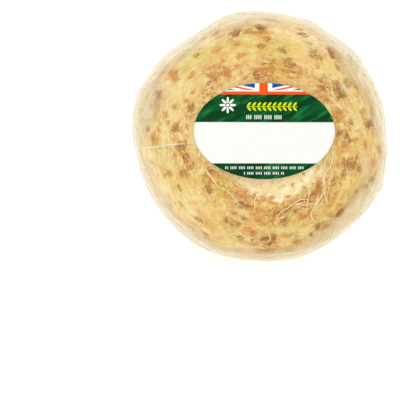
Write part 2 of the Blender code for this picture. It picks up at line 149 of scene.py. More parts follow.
# Orange-brown blushes, given as the scars are
BLUSHES: Ovals = (
    (-20.3, 40.9, 5.2, 2.8), (-18.4, 34.7, 4.3, 1.9), (-22.2, 28.6, 4.3, 3.8), (-31.7, 28.6, 4.7, 1.9),
    (-40.9, 29.1, 5.2, 4.7), (-43.9, 32.8, 4.3, 1.4), (-46.4, 29.5, 4.3, 1.4), (-49.6, 25.7, 3.8, 1.4),
    (5.7, 34.7, 2.8, 1.9), (0.0, 31.4, 8.0, 2.8), (2.8, 30.0, 2.8, 1.9), (5.2, 32.8, 2.8, 2.4),
    (-10.9, 32.6, 3.8, 1.4), (-9.0, 38.0, 4.7, 2.8), (-10.9, 43.2, 3.8, 1.4), (-15.6, 30.5, 2.8, 4.7),
    (-7.1, 27.2, 3.8, 1.9), (18.4, 30.5, 3.8, 2.8), (14.2, 27.6, 3.8, 1.4), (18.9, 50.5, 3.8, 1.9),
    (23.1, 43.7, 3.8, 1.4), (44.4, 22.9, 3.3, 1.9), (30.7, 17.7, 3.8, 3.8), (26.9, 32.8, 2.8, 2.4),
    (36.4, 11.1, 5.7, 3.8), (36.4, 8.3, 3.8, 2.8), (47.7, 11.6, 3.3, 2.8), (44.7, -1.2, 2.8, 2.4),
    (49.3, -4.0, 5.7, 1.9), (39.7, -3.5, 3.3, 1.9), (56.7, -6.4, 6.6, 2.4), (52.9, -12.5, 3.8, 2.4),
    (-34.0, 4.5, 3.3, 1.9), (-49.4, -1.2, 4.3, 2.8), (-47.2, 3.1, 4.7, 0.9), (-36.6, -7.8, 2.8, 2.8),
    (-39.9, -9.0, 2.8, 1.9), (-33.5, -13.5, 3.8, 2.4), (-42.5, -17.2, 3.3, 2.8), (-44.4, 10.2, 3.8, 2.8),
    (-43.2, 6.5, 2.4, 1.9), (-34.5, 16.5, 2.4, 1.9), (-39.9, 14.1, 2.4, 1.9), (19.4, -37.9, 4.3, 1.9),
    (13.7, -46.1, 4.7, 1.4), (17.5, -49.4, 5.7, 1.9), (-3.1, -44.6, 5.7, 1.9), (1.4, -40.6, 4.7, 1.9),
    (-0.5, -38.5, 4.7, 2.8), (-12.0, -35.7, 4.3, 1.9), (-2.8, -50.1, 4.7, 1.9), (2.8, -53.6, 7.6, 1.9),
    (14.5, -53.9, 4.7, 1.4), (31.3, -42.8, 5.7, 1.9), (37.3, -31.9, 1.9, 1.9), (45.4, -26.0, 1.9, 1.4),
    (52.0, -22.7, 2.8, 2.4), (28.3, 48.4, 7.6, 1.9), (15.0, -22.6, 2.2, 2.2), (20.3, -17.2, 1.6, 1.6),
    (12.9, -28.1, 2.8, 1.7), (20.4, -24.0, 2.0, 2.0), (0.9, -28.5, 2.0, 1.8), (5.5, -28.5, 2.4, 1.6),
    (27.2, -14.1, 3.0, 2.2), (-52.8, 24.5, 8.0, 1.2), (-54.6, 17.0, 6.0, 1.2),
)

# Greenish places, in millimetres
GREENS: Rounds = (
    (-26.0, 38.0, 7.0), (-46.0, -11.0, 7.5), (-21.0, -24.0, 5.5), (27.5, -37.0, 4.5), (42.5, -5.4, 3.5),
    (36.4, -19.6, 3.5), (-7.0, 45.5, 8.0), (14.5, -36.8, 5.0), (4.7, -43.7, 4.0), (41.0, -30.0, 5.0),
    (-35.0, 31.5, 5.0), (-19.0, 43.0, 5.0), (-48.0, -2.0, 5.0), (-17.0, -29.0, 4.0), (30.0, -33.0, 5.0),
    (-31.0, 35.5, 4.5), (-7.0, 43.5, 3.5), (30.0, 18.0, 3.0), (16.0, -41.0, 5.0), (-45.0, 3.5, 3.0),
)

# Pale creamy places, given as the greenish places are
LIGHT_PLACES: Rounds = (
    (-44.0, 9.0, 12.0), (-34.0, 8.5, 5.0), (-40.0, 20.0, 7.0), (-30.0, -2.0, 7.0), (22.0, 34.0, 5.5),
    (-40.0, 13.0, 7.0), (-37.0, 2.0, 6.0), (-42.0, -2.0, 5.0), (-26.0, 20.0, 4.0), (48.0, -8.0, 4.0),
    (27.0, 31.0, 5.0), (40.5, 12.0, 5.0), (47.0, 3.0, 4.5), (-45.0, 18.0, 6.0), (-27.0, 13.0, 5.0),
    (33.5, 29.0, 5.0), (50.0, 17.0, 5.0), (30.0, 13.0, 4.0), (20.5, 30.5, 4.5), (49.0, -14.5, 4.0),
    (38.0, 34.5, 4.5), (48.5, -8.5, 3.0), (24.0, -44.0, 4.0), (-46.5, -8.5, 3.5), (44.0, -29.0, 6.0),
    (49.5, -19.5, 4.5), (39.5, -35.0, 4.0), (31.0, -41.5, 4.0), (13.0, -50.0, 4.5), (-51.0, 3.0, 5.0),
    (0.0, -50.5, 3.5), (50.0, 8.5, 3.5), (-36.0, 7.5, 4.0), (-42.0, -9.0, 4.5), (-42.0, -15.0, 4.0),
    (20.0, -50.0, 4.0), (42.5, 30.0, 4.0), (-44.5, 1.0, 4.5), (-45.5, 12.0, 4.5), (-41.0, 7.0, 5.5),
    (-41.5, -4.0, 6.0), (-30.0, -14.5, 4.0), (15.5, 30.5, 2.6), (35.5, 38.0, 4.0), (47.0, 22.0, 4.0),
    (34.5, -39.5, 4.0),
)

# Golden brown places, given as the greenish places are
GOLDEN_PLACES: Rounds = (
    (-19.0, 39.0, 7.0), (-13.0, 36.0, 4.5), (1.0, 47.5, 7.0), (-8.0, 42.0, 6.0), (9.5, 30.5, 4.0),
    (32.0, -32.0, 4.0), (20.5, -38.0, 5.0), (43.0, -9.0, 4.5), (37.5, -9.5, 4.0), (-25.0, 36.0, 4.0),
    (-19.0, 47.5, 4.5), (49.0, -3.5, 4.0), (32.0, -15.0, 3.5), (-8.0, 36.0, 5.0), (-2.0, 30.5, 4.5),
    (-24.5, 36.0, 4.5),
)

# Painted shade: brown where the rootlets shadow the skin between them, given as the greenish places are
ROOTLET_SHADE_PLACES: Rounds = (
    (29.0, -20.0, 5.0), (27.5, -27.5, 5.0), (21.0, -31.0, 5.5), (31.5, -27.0, 3.5), (33.0, -13.0, 3.0),
    (-23.5, -17.5, 3.5), (9.5, -37.0, 4.0), (-8.0, -29.0, 4.0), (-17.0, -22.5, 3.5), (4.0, -48.5, 4.0),
)

# Bright spots of bare flesh on the trimmed root end, given as the greenish places are
BARE_SPOTS: Rounds = (
    (23.5, -16.8, 2.4), (22.2, -19.9, 1.5), (18.1, -22.6, 2.3), (17.2, -25.8, 1.8), (12.7, -24.5, 1.5),
    (10.9, -25.8, 1.9), (7.7, -29.9, 1.8), (9.9, -29.9, 1.5), (4.5, -27.6, 1.5), (-3.0, -25.0, 1.4),
)

# Places where brown wrinkles crowd together, given as the greenish places are
ROUGH_PLACES: Rounds = (
    (-19.0, 28.5, 6.5), (-24.0, 19.0, 4.5), (3.0, 29.5, 8.0), (13.0, 32.0, 5.5), (-32.0, 12.0, 4.0),
    (-38.5, 2.5, 3.5), (-36.0, -6.0, 6.5), (-34.0, -14.5, 6.0), (32.0, 22.0, 8.0), (38.0, 16.5, 6.0),
    (20.5, -38.0, 4.0), (35.0, 10.0, 5.0), (39.0, 0.0, 7.0), (41.0, -12.0, 7.0), (33.5, -21.5, 6.5),
    (25.5, -23.0, 7.0), (20.0, -32.0, 8.5), (8.0, -37.0, 7.5), (-3.5, -33.0, 7.5), (-12.0, -26.0, 7.5),
    (-22.5, -18.5, 6.0), (3.5, -48.5, 5.5), (-6.5, -43.5, 5.0), (36.5, -35.5, 3.0), (27.5, -42.0, 3.5),
    (-12.0, 48.0, 4.0), (0.0, 50.0, 4.5), (33.0, 39.5, 3.5), (50.5, 6.0, 4.5), (52.0, -10.0, 4.0),
    (52.0, -22.0, 4.0), (-48.0, 18.5, 4.0), (-50.0, -1.5, 4.0), (-44.0, -18.0, 3.5), (-40.5, 28.0, 4.0),
    (4.0, 46.0, 4.0), (-19.0, 47.0, 4.0), (32.0, -31.0, 3.5),
)

# Creases in the film, each as the places that it runs through, in millimetres. They are milky, with painted
# glints along them.
CREASES: tuple[Line, ...] = (
    ((39.8, 40.7), (39.3, 35.5)),
    ((42.0, 40.0), (43.5, 33.0)),
    ((46.9, 36.0), (43.0, 34.7)),
    ((37.6, 24.4), (40.4, 20.9)),
    ((43.9, 29.0), (46.3, 26.8)),
    ((50.6, 11.0), (51.6, 8.6)),
    ((57.6, 12.0), (57.6, 4.5)),
    ((53.6, -24.1), (50.0, -28.5)),
    ((-53.5, 8.4), (-49.1, 12.5)),
    ((-52.5, 14.5), (-50.9, 9.8)),
    ((-5.5, -55.5), (9.6, -54.7), (23.1, -53.1)),
    ((-44.0, 32.8), (-28.3, 45.6)),
    ((-52.9, 20.3), (-54.4, 16.5)),
)

# Hazy places of the film with painted glare, given as the greenish places are
HAZE_AND_GLARE_PLACES: Rounds = (
    (48.5, -12.0, 4.5), (52.0, -19.0, 4.0), (45.0, -27.0, 4.5), (33.0, 41.0, 5.0), (42.5, 36.0, 4.5),
    (-46.0, 19.0, 6.5), (-51.0, 9.0, 5.0), (-52.5, 2.0, 4.5), (-33.0, 40.0, 4.5), (46.0, 26.0, 4.0),
    (24.0, 42.5, 4.0), (53.0, 10.0, 4.5), (-12.0, 51.0, 4.0), (38.5, 22.0, 3.0),
)

# Where the film's milky rim begins, haze with painted reflection: the angle round the middle in degrees, and
# millimetres from it
RIM_HAZE_AND_REFLECTION: tuple[Pair, ...] = (
    (0.0, 58.4), (6.0, 54.5), (12.0, 54.6), (19.5, 54.6), (23.6, 53.0), (29.0, 51.7), (35.3, 51.1),
    (42.5, 52.5), (45.0, 54.3), (51.6, 56.6), (62.8, 56.8), (67.4, 56.6), (77.0, 55.8), (80.3, 54.3),
    (87.0, 52.8), (93.8, 53.2), (100.2, 53.5), (107.0, 55.5), (115.2, 54.9), (125.0, 54.0), (136.4, 53.6),
    (141.1, 54.7), (149.4, 54.8), (152.9, 55.5), (159.6, 53.1), (169.8, 53.2), (174.1, 55.3), (179.6, 56.9),
    (187.1, 57.7), (205.0, 56.0), (230.0, 54.5), (250.0, 56.5), (264.3, 55.6), (279.1, 56.0), (298.8, 53.7),
    (309.3, 53.2), (318.6, 53.3), (326.3, 53.7), (334.3, 56.1), (344.8, 58.7), (352.0, 58.2), (360.0, 58.4),
)

# Where the viewer sees the welded seam run unbroken, in millimetres right of the middle
WELDS: tuple[Pair, ...] = (
    (-54.5, -33.8), (38.2, 38.8), (42.4, 42.9), (43.9, 45.0), (47.1, 47.9), (50.0, 51.1), (52.2, 52.6),
    (54.2, 54.8),
)

# The line of the film's welded seam, in millimetres right and up of the middle
SEAM: Line = (
    (-60.0, -5.3), (-47.5, -4.9), (-43.2, -3.9), (-38.3, -3.6), (0.0, 1.0), (37.9, 3.9), (60.0, 4.2),
)


def smooth_step(low: float, high: float, value: np.ndarray) -> np.ndarray:
    """0 on low's side, 1 on high's and a smooth change between."""
    t = np.clip((value - low) / (high - low), 0.0, 1.0)
    return t * t * (3.0 - 2.0 * t)


def unit(vectors: np.ndarray) -> np.ndarray:
    """The rows of vectors, each made one long."""
    return vectors / np.linalg.norm(vectors, axis=-1, keepdims=True)


def ways_at(polar: np.ndarray | float, turn: np.ndarray | float) -> np.ndarray:
    """The directions at these angles from +Z and round it, as rows."""
    across = np.sin(polar)
    return np.column_stack((across * np.cos(turn), across * np.sin(turn), np.cos(polar)))


def half_turns(angle: np.ndarray) -> np.ndarray:
    """The same angles, brought between half a turn back and half a turn on."""
    return (angle + math.pi) % TURN - math.pi


def lumps(points: np.ndarray, scale: float, height: float, shift: float) -> np.ndarray:
    """Smooth lumps and hollows at the points.

    Args:
        points: Where they are looked up, as rows.
        scale: Lumps for each unit of length of the points.
        height: How high the lumps are.
        shift: Another value gives other lumps.

    Returns:
        A height for each row.
    """
    offset = Vector((shift, 0.0, 0.0))
    return height * np.array([noise.noise(Vector(point) * scale + offset) for point in points])


def along_line(places: Sequence[Sequence[float]], step: float) -> np.ndarray:
    """Places about step apart along a smooth curve through the given ones (Catmull-Rom)."""
    fixed = np.array(places, float)
    ends = np.vstack((2 * fixed[0] - fixed[1], fixed, 2 * fixed[-1] - fixed[-2]))
    line = []
    for before, start, end, after in zip(ends, ends[1:], ends[2:], ends[3:]):
        count = max(1, round(np.linalg.norm(end - start) / step))
        for t in np.arange(count) / count:
            swing = (end - before) * t + (2 * before - 5 * start + 4 * end - after) * t**2
            line.append(start + 0.5 * (swing + (3 * start - before - 3 * end + after) * t**3))
    return np.array(line + [fixed[-1]])


@dataclass(frozen=True)
class Lie:
    """How the root lies, and where the viewer stands to it."""

    axis_rise: float = math.radians(8.0)
    axis_turn: float = math.radians(8.0)
    middle_height: float = 56.0 * MM
    view_rise: float = math.radians(15.0)

    @cached_property
    def axes(self) -> Matrix:
        """The growth frame's axes in the row frame."""
        lean = Matrix.Rotation(math.pi / 2 - self.axis_rise, 3, "X")
        return Matrix.Rotation(self.axis_turn, 3, "Z") @ lean

    @cached_property
    def to_world(self) -> np.ndarray:
        """The same axes for rows of numbers."""
        return np.array(self.axes)

    @cached_property
    def down(self) -> np.ndarray:
        """The way down, in the growth frame."""
        return self.to_world.T @ np.array((0.0, 0.0, -1.0))

    @cached_property
    def view(self) -> np.ndarray:
        """The viewer's right, up and towards as columns, in the growth frame."""
        level = np.array(Matrix.Rotation(math.pi / 2 - self.view_rise, 3, "X"))
        return self.to_world.T @ level


@dataclass(frozen=True)
class Swell:
    """A swell or dip that runs from the root end to the crown."""

    angle: float
    height: float
    spread: float


def swelling(*rows: tuple[float, float, float]) -> tuple[Swell, ...]:
    """Swells, each given by its degrees round the axis, its millimetres of height and degrees of spread."""
    return tuple(Swell(math.radians(row[0]), row[1] * MM, math.radians(row[2])) for row in rows)


@dataclass(frozen=True)
class Form:
    """The root's form and what lies on it: how far each surface is from the middle in each direction."""

    lie: Lie = Lie()
    radius: float = 57.4 * MM
    root_end_reach: float = 52.0 * MM
    root_end_cut: float = 49.5 * MM
    crown_reach: float = 55.0 * MM
    crown_cut: float = 46.0 * MM
    squareness: float = 2.12
    cut_edge_rounding: float = 1.2 * MM
    broad_lumps: Lumps = (2.3, 0.8 * MM, 4.0)
    lumps_fade_below: float = math.radians(38)
    film_standoff: float = 1.9 * MM
    film_over_rootlets: float = 0.8 * MM
    film_over_crown: float = 2.6 * MM
    rootlet_zone: Pair = (math.radians(58), math.radians(80))
    label_gap: float = 0.3 * MM
    seen_within: float = 0.01 * MM
    most_tries: int = 40
    swells: tuple[Swell, ...] = swelling(
        (338, 2.5, 14), (297, 0.9, 18), (200, -0.9, 12), (165, 2.2, 14), (119, -2.2, 10), (96, 0.8, 8),
        (76, -0.7, 8),
    )

    def polar(self, ways: np.ndarray) -> np.ndarray:
        """The angle of each direction from the root end."""
        return np.arccos(np.clip(ways[:, 2], -1.0, 1.0))

    def trimmed(self, reach: np.ndarray, axial: np.ndarray, cut: float) -> np.ndarray:
        """reach, cut off by the plane at cut along the axis, with the edge of the cut rounded."""
        facing_away = 0.05
        plane = cut / np.maximum(axial, facing_away)
        soft = self.cut_edge_rounding
        low = np.minimum(reach, plane)
        return low - soft * np.log(np.exp((low - reach) / soft) + np.exp((low - plane) / soft))

    def body(self, ways: np.ndarray, over_crown: float = 0.0) -> np.ndarray:
        """How far the body reaches, without its fine relief.

        Args:
            ways: Directions in the growth frame, as rows.
            over_crown: How far off the trimmed crown the surface keeps.

        Returns:
            The reach in each direction.
        """
        axial = ways[:, 2]
        across = np.hypot(ways[:, 0], ways[:, 1])
        turn = np.arctan2(ways[:, 1], ways[:, 0])
        half_depth = np.where(axial > 0, self.root_end_reach, self.crown_reach)
        power = self.squareness
        reach = ((np.abs(axial) / half_depth) ** power + (across / self.radius) ** power) ** (-1.0 / power)
        for swell in self.swells:
            away = half_turns(turn - swell.angle)
            reach = reach + swell.height * across**2 * np.exp(-0.5 * (away / swell.spread) ** 2)
        from_below = np.arccos(np.clip(ways @ self.lie.down, -1.0, 1.0))
        calm = smooth_step(0.0, self.lumps_fade_below, from_below)
        reach = reach + calm * lumps(ways, *self.broad_lumps)
        reach = self.trimmed(reach, axial, self.root_end_cut)
        return self.trimmed(reach, -axial, self.crown_cut + over_crown)

    def film(self, ways: np.ndarray) -> np.ndarray:
        """How far the film's outside reaches, without its creases."""
        over_rootlets = 1.0 - smooth_step(*self.rootlet_zone, self.polar(ways))
        standoff = self.film_standoff + self.film_over_rootlets * over_rootlets
        return self.body(ways, self.film_over_crown) + standoff

    def label(self, ways: np.ndarray) -> np.ndarray:
        """How far the label's back reaches."""
        return self.film(ways) + self.label_gap

    def seen_at(self, places: np.ndarray, reach: Reach) -> np.ndarray:
        """The points of a surface that the viewer sees at the places.

        Args:
            places: How far right and up of the middle each place is, as rows.
            reach: How far the surface is from the middle in given directions.

        Returns:
            Points in the growth frame, as rows.
        """
        view = self.lie.view
        from_middle = (places**2).sum(axis=1)
        front = np.sqrt(np.maximum(self.radius**2 - from_middle, 0.0))
        for _ in range(self.most_tries):
            guess = unit(np.column_stack((places, front)) @ view.T)
            points = guess * reach(guess)[:, None]
            if np.abs(places - points @ view[:, :2]).max() <= self.seen_within:
                break
            front = np.sqrt(np.maximum((points**2).sum(axis=1) - from_middle, 0.0))
        return points

    def spots_value(self, ways: np.ndarray, spots: Rounds) -> np.ndarray:
        """How far each direction is within the round places, from 0 to 1."""
        value = np.zeros(len(ways))
        places = np.array([spot[:2] for spot in spots]) * MM
        middles = unit(self.seen_at(places, self.body))
        for middle, spot in zip(middles, spots):
            away = np.linalg.norm(ways - middle, axis=1) * self.radius / (spot[2] * MM)
            value = np.maximum(value, np.exp(-(away**2)))
        return value

    def set_down(self, points: np.ndarray) -> np.ndarray:
        """The points, with those below the surface that the root lies on drawn in to it: the flat spot."""
        depth = points @ self.lie.down
        below = depth > self.lie.middle_height
        return points * np.where(below, self.lie.middle_height / np.where(below, depth, 1.0), 1.0)[:, None]


class MarkKind(Enum):
    """What a mark on the skin is."""

    SCAR = "scar"
    BLUSH = "blush"


@dataclass(frozen=True)
class Mark:
    """A scar or a blush on the skin, drawn out along its ring."""

    kind: MarkKind
    way: tuple[float, float, float]
    length: float
    width: float

    def spread(self, ways: np.ndarray, radius: float) -> tuple[np.ndarray, np.ndarray]:
        """Which directions are near, and how far out of the mark's oval they are.

        Args:
            ways: Directions in the growth frame, as rows.
            radius: The distance from the middle at which the mark's sizes hold.

        Returns:
            The numbers of the near rows, and for each 0 in the middle and 1 on the oval.
        """
        lengths_away = 2.5
        place = np.array(self.way)
        near = np.flatnonzero(ways @ place > math.cos(lengths_away * self.length / radius))
        along = unit(np.cross((0.0, 0.0, 1.0), place))
        over = np.cross(place, along)
        away = (ways[near] - place) * radius
        return near, np.hypot(away @ along / (self.length / 2), away @ over / (self.width / 2))


@dataclass
class Shape:
    """A mesh being made: its points, its faces and the values that its finish reads at each point."""

    points: np.ndarray
    faces: list[tuple[int, ...]]
    values: dict[str, np.ndarray] = field(default_factory=dict)

    def made(self, name: str, lie: Matrix, material: bpy.types.Material) -> bpy.types.Object:
        """Makes the object.

        Args:
            name: The piece's name.
            lie: Where the growth frame is, in the row frame.
            material: The finish.

        Returns:
            The new object, riding on the root.
        """
        turn, shift = np.array(lie.to_3x3()), np.array(lie.translation)
        mesh = bpy.data.meshes.new(name)
        mesh.from_pydata((self.points @ turn.T + shift).tolist(), [], self.faces)
        for title, value in self.values.items():
            kind, socket = ("FLOAT", "value") if value.ndim == 1 else ("FLOAT_VECTOR", "vector")
            layer = mesh.attributes.new(title, kind, "POINT")
            layer.data.foreach_set(socket, value.astype(np.float32).ravel())
        mesh.shade_smooth()
        mesh.materials.append(material)
        piece = bpy.data.objects.new(name, mesh)
        bpy.context.scene.collection.objects.link(piece)
        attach(piece, "root")
        return piece


def joined(shapes: Sequence[Shape]) -> Shape:
    """The shapes as one, each still a body of its own."""
    points = np.concatenate([shape.points for shape in shapes])
    faces = []
    start = 0
    for shape in shapes:
        faces += [tuple(start + corner for corner in face) for face in shape.faces]
        start += len(shape.points)
    values = {
        name: np.concatenate([shape.values[name] for shape in shapes]) for name in shapes[0].values
    }
    return Shape(points, faces, values)


def ball_grid(cells: int) -> tuple[np.ndarray, list[tuple[int, ...]]]:
    """Directions all round, on a grid like a cube's.

    Args:
        cells: Squares along each of the cube's edges.

    Returns:
        The directions as rows, and the four-cornered faces between them.
    """
    quads = []
    for axis in range(3):
        for side in (0, cells):
            first, second = np.meshgrid(np.arange(cells), np.arange(cells), indexing="ij")
            corners = []
            for right, up in ((0, 0), (1, 0), (1, 1), (0, 1)):
                corner = np.empty((first.size, 3), int)
                corner[:, axis] = side
                corner[:, (axis + 1) % 3] = (first + right).ravel()
                corner[:, (axis + 2) % 3] = (second + up).ravel()
                corners.append(corner)
            if side == 0:
                corners.reverse()
            quads.append(np.stack(corners, axis=1))
    corners = np.concatenate(quads).reshape(-1, 3)
    keys, where = np.unique(corners, axis=0, return_inverse=True)
    ways = unit(np.tan((keys / cells * 2.0 - 1.0) * math.pi / 4))
    return ways, [tuple(face) for face in where.reshape(-1, 4).tolist()]


def dome_grid(rings: int, segments: int, span: float) -> tuple[np.ndarray, list[tuple[int, ...]]]:
    """Directions from +Z out to the angle span, on rings, and the faces between them."""
    polar = np.repeat(span * np.arange(1, rings + 1) / rings, segments)
    turn = np.tile(TURN * np.arange(segments) / segments, rings)
    return np.vstack(((0.0, 0.0, 1.0), ways_at(polar, turn))), disc_faces(rings, segments)


def disc_faces(rings: int, segments: int) -> list[tuple[int, ...]]:
    """Faces of a disc whose points are its middle and then its rings, from the inside out."""
    faces = [(0, 1 + i, 1 + (i + 1) % segments) for i in range(segments)]
    for ring in range(1, rings):
        inner = 1 + (ring - 1) * segments
        outer = inner + segments
        for i in range(segments):
            j = (i + 1) % segments
            faces.append((inner + i, outer + i, outer + j, inner + j))
    return faces


def strand(points: np.ndarray, radii: np.ndarray, sides: int) -> Shape:
    """A round closed strand along the points.

    Args:
        points: Its middle line, as rows.
        radii: Its radius at each point.
        sides: Sides of its section.

    Returns:
        The strand, with the value tip running from 0 to 1 along it.
    """
    aslant = (0.31, 0.52, 0.79)
    heading = unit(np.gradient(points, axis=0))
    side = unit(np.cross(heading[0], aslant))
    turn = TURN * np.arange(sides) / sides
    loops = []
    for point, way, radius in zip(points, heading, radii):
        side = unit(side - way * (side @ way))
        up = np.cross(way, side)
        loops.append(point + radius * (np.outer(np.cos(turn), side) + np.outer(np.sin(turn), up)))
    count = len(points)
    faces: list[tuple[int, ...]] = []
    for ring in range(count - 1):
        for i in range(sides):
            j = (i + 1) % sides
            low = ring * sides
            faces.append((low + i, low + j, low + sides + j, low + sides + i))
    faces.append(tuple(reversed(range(sides))))
    faces.append(tuple(range((count - 1) * sides, count * sides)))
    tip = np.repeat(np.linspace(0.0, 1.0, count), sides)
    return Shape(np.concatenate(loops), faces, {"tip": tip})


def srgb(red: int, green: int, blue: int) -> Colour:
    """A colour seen as these screen values, as the shader takes it: by the curve that sRGB has."""
    shares = (red / 255, green / 255, blue / 255)
    return tuple(((share + 0.055) / 1.055) ** 2.4 if share > 0.04 else share / 12.92 for share in shares)


Socket = bpy.types.NodeSocket
Value = float | Socket
Tint = Colour | Socket


class Sheet:
    """A node tree, with short calls that add a node, set its inputs and join it up."""

    def __init__(self, tree: bpy.types.NodeTree) -> None:
        """Starts on an empty tree."""
        self.tree = tree
        tree.nodes.clear()

    def add(
        self, kind: str, inputs: dict[str | int, object] | None = None, **settings: object
    ) -> bpy.types.Node:
        """Adds a node.

        Args:
            kind: The node's type.
            inputs: A socket to join, or a value to set, for each input's name or number.
            settings: The node's own settings.

        Returns:
            The node.
        """
        node = self.tree.nodes.new(kind)
        for name, value in settings.items():
            setattr(node, name, value)
        for key, value in (inputs or {}).items():
            if isinstance(value, bpy.types.NodeSocket):
                self.tree.links.new(value, node.inputs[key])
            elif isinstance(value, tuple) and node.inputs[key].type == "RGBA":
                node.inputs[key].default_value = (*value, 1.0)
            else:
                node.inputs[key].default_value = value
        return node

    def group(self, tree: bpy.types.NodeTree, **inputs: Value) -> Socket:
        """The first output of a node group, with its inputs set by name."""
        return self.add("ShaderNodeGroup", inputs, node_tree=tree).outputs[0]

    def math(self, operation: str, *terms: Value, clamp: bool = False) -> Socket:
        """The result of a Math node."""
        node = self.add("ShaderNodeMath", dict(enumerate(terms)), operation=operation, use_clamp=clamp)
        return node.outputs[0]

    def times(self, *terms: Value) -> Value:
        """The terms multiplied, kept within 0 and 1."""
        return reduce(lambda result, term: self.math("MULTIPLY", result, term, clamp=True), terms)

    def plus(self, *terms: Value) -> Value:
        """The terms added, kept within 0 and 1."""
        return reduce(lambda result, term: self.math("ADD", result, term, clamp=True), terms)

    def off(self, value: Value, middle: float) -> Socket:
        """How far value is from the middle, to either side."""
        return self.math("ABSOLUTE", self.math("SUBTRACT", value, middle))

    def under(self, value: Value, limit: Value) -> Socket:
        """1 where value is less than the limit, and 0 elsewhere."""
        return self.math("LESS_THAN", value, limit)

    def over(self, value: Value, limit: Value) -> Socket:
        """1 where value is more than the limit, and 0 elsewhere."""
        return self.math("GREATER_THAN", value, limit)

    def between(self, value: Value, low: Value, high: Value) -> Socket:
        """0 on low's side, 1 on high's and a smooth change between."""
        inputs = {"Value": value, "From Min": low, "From Max": high}
        return self.add("ShaderNodeMapRange", inputs, interpolation_type="SMOOTHSTEP").outputs[0]

    def frayed(self, name: str, dust: Socket, low: float, high: float) -> Socket:
        """The value that the mesh holds, as a spot whose edge frays where the noise is high.

        Args:
            name: The value's name. Its spots are 1 in the middle and about 0.4 on their outline.
            dust: A fine noise from 0 to 1.
            low: Where the spot begins. Above 0.5 the noise alone makes no spots.
            high: Where it is full.

        Returns:
            A share from 0 to 1.
        """
        most_added = 0.5
        return self.between(self.math("MULTIPLY_ADD", dust, most_added, self.value(name)), low, high)

    def contour(self, name: str, dust: Socket, level: float, width: float) -> Socket:
        """Thin winding lines where the value that the mesh holds, with the noise added, is at the level."""
        most_added = 0.9
        off = self.off(self.math("MULTIPLY_ADD", dust, most_added, self.value(name)), level)
        return self.between(off, width, 0.0)

    def mix(self, share: Value, first: Tint, second: Tint) -> Socket:
        """first, with that share of second mixed in."""
        return self.add("ShaderNodeMix", {0: share, 6: first, 7: second}, data_type="RGBA").outputs[2]

    def value(self, name: str) -> Socket:
        """A value that the mesh holds at each point."""
        return self.add("ShaderNodeAttribute", attribute_name=name).outputs["Fac"]

    def place(self, name: str) -> Socket:
        """A place that the mesh holds at each point."""
        return self.add("ShaderNodeAttribute", attribute_name=name).outputs["Vector"]

    def object_mm(self) -> Socket:
        """The object's own coordinates, in millimetres."""
        own = self.add("ShaderNodeTexCoord").outputs["Object"]
        return self.add("ShaderNodeVectorMath", {0: own, "Scale": 1 / MM}, operation="SCALE").outputs[0]


def start_group(
    name: str, numbers: dict[str, float], output: str = "Amount"
) -> tuple[Sheet, dict[str, Socket]]:
    """Begins a node group that takes a place and some numbers and gives one value.

    Args:
        name: The group's name.
        numbers: The starting value of each number, by name.
        output: The output's name.

    Returns:
        The sheet to build on, and the sockets that bring the inputs in.
    """
    tree = bpy.data.node_groups.new(name, "ShaderNodeTree")
    tree.interface.new_socket("Place", in_out="INPUT", socket_type="NodeSocketVector")
    for title, value in numbers.items():
        socket = tree.interface.new_socket(title, in_out="INPUT", socket_type="NodeSocketFloat")
        socket.default_value = value
    tree.interface.new_socket(output, in_out="OUTPUT", socket_type="NodeSocketFloat")
    sheet = Sheet(tree)
    entry = sheet.add("NodeGroupInput")
    return sheet, {title: entry.outputs[title] for title in ("Place", *numbers)}


@dataclass
class Effects:
    """Shader node groups that more than one finish uses, each built once."""

    spot_detail: float = 3.0
    line_detail: float = 1.5
    line_distortion: float = 0.8
    grain_detail: float = 5.0
    grain_cells: float = 0.5

    def cloud(
        self, sheet: Sheet, inputs: dict[str, Socket], detail: float, distortion: float = 0.0
    ) -> Socket:
        """A cloudy noise at the group's place, of the group's size."""
        scale = sheet.math("DIVIDE", 1.0, inputs["Size"])
        settings = {"Vector": inputs["Place"], "Scale": scale, "Detail": detail, "Distortion": distortion}
        return sheet.add("ShaderNodeTexNoise", settings).outputs[0]

    @cached_property
    def mottling(self) -> bpy.types.NodeTree:
        """Soft-edged spots of a given size, where a cloudy noise lies between Low and High."""
        sheet, inputs = start_group("mottling", {"Size": 5.0, "Low": 0.45, "High": 0.65})
        cloud = self.cloud(sheet, inputs, self.spot_detail)
        sheet.add("NodeGroupOutput", {"Amount": sheet.between(cloud, inputs["Low"], inputs["High"])})
        return sheet.tree

    @cached_property
    def wrinkles(self) -> bpy.types.NodeTree:
        """Thin winding lines of a given spacing, Width wide on a scale where 0.5 fills everything."""
        sheet, inputs = start_group("wrinkles", {"Size": 2.0, "Width": 0.08})
        off = sheet.off(self.cloud(sheet, inputs, self.line_detail, self.line_distortion), 0.5)
        sheet.add("NodeGroupOutput", {"Amount": sheet.between(off, inputs["Width"], 0.0)})
        return sheet.tree

    @cached_property
    def grain(self) -> bpy.types.NodeTree:
        """The height of a fine natural grain: pores among small uneven cells."""
        sheet, inputs = start_group("grain", {"Size": 1.0}, "Height")
        scale = sheet.math("DIVIDE", 1.0, inputs["Size"])
        cells = sheet.add("ShaderNodeTexVoronoi", {"Vector": inputs["Place"], "Scale": scale})
        dust = self.cloud(sheet, inputs, self.grain_detail)
        height = sheet.math("MULTIPLY_ADD", cells.outputs["Distance"], self.grain_cells, dust)
        sheet.add("NodeGroupOutput", {"Height": height})
        return sheet.tree


class Where(Enum):
    """Which coordinates a pattern follows."""

    OWN = "the surface's own"
    RING = "drawn out along the rings"
    DRAWN = "drawn out further"


@dataclass(frozen=True)
class Spots:
    """Soft-edged spots: their size in millimetres, and where in the noise they begin and are full."""

    size: float
    low: float
    high: float


@dataclass(frozen=True)
class Lines:
    """Thin winding lines: their spacing in millimetres, and their width where 0.5 fills everything."""

    size: float
    width: float


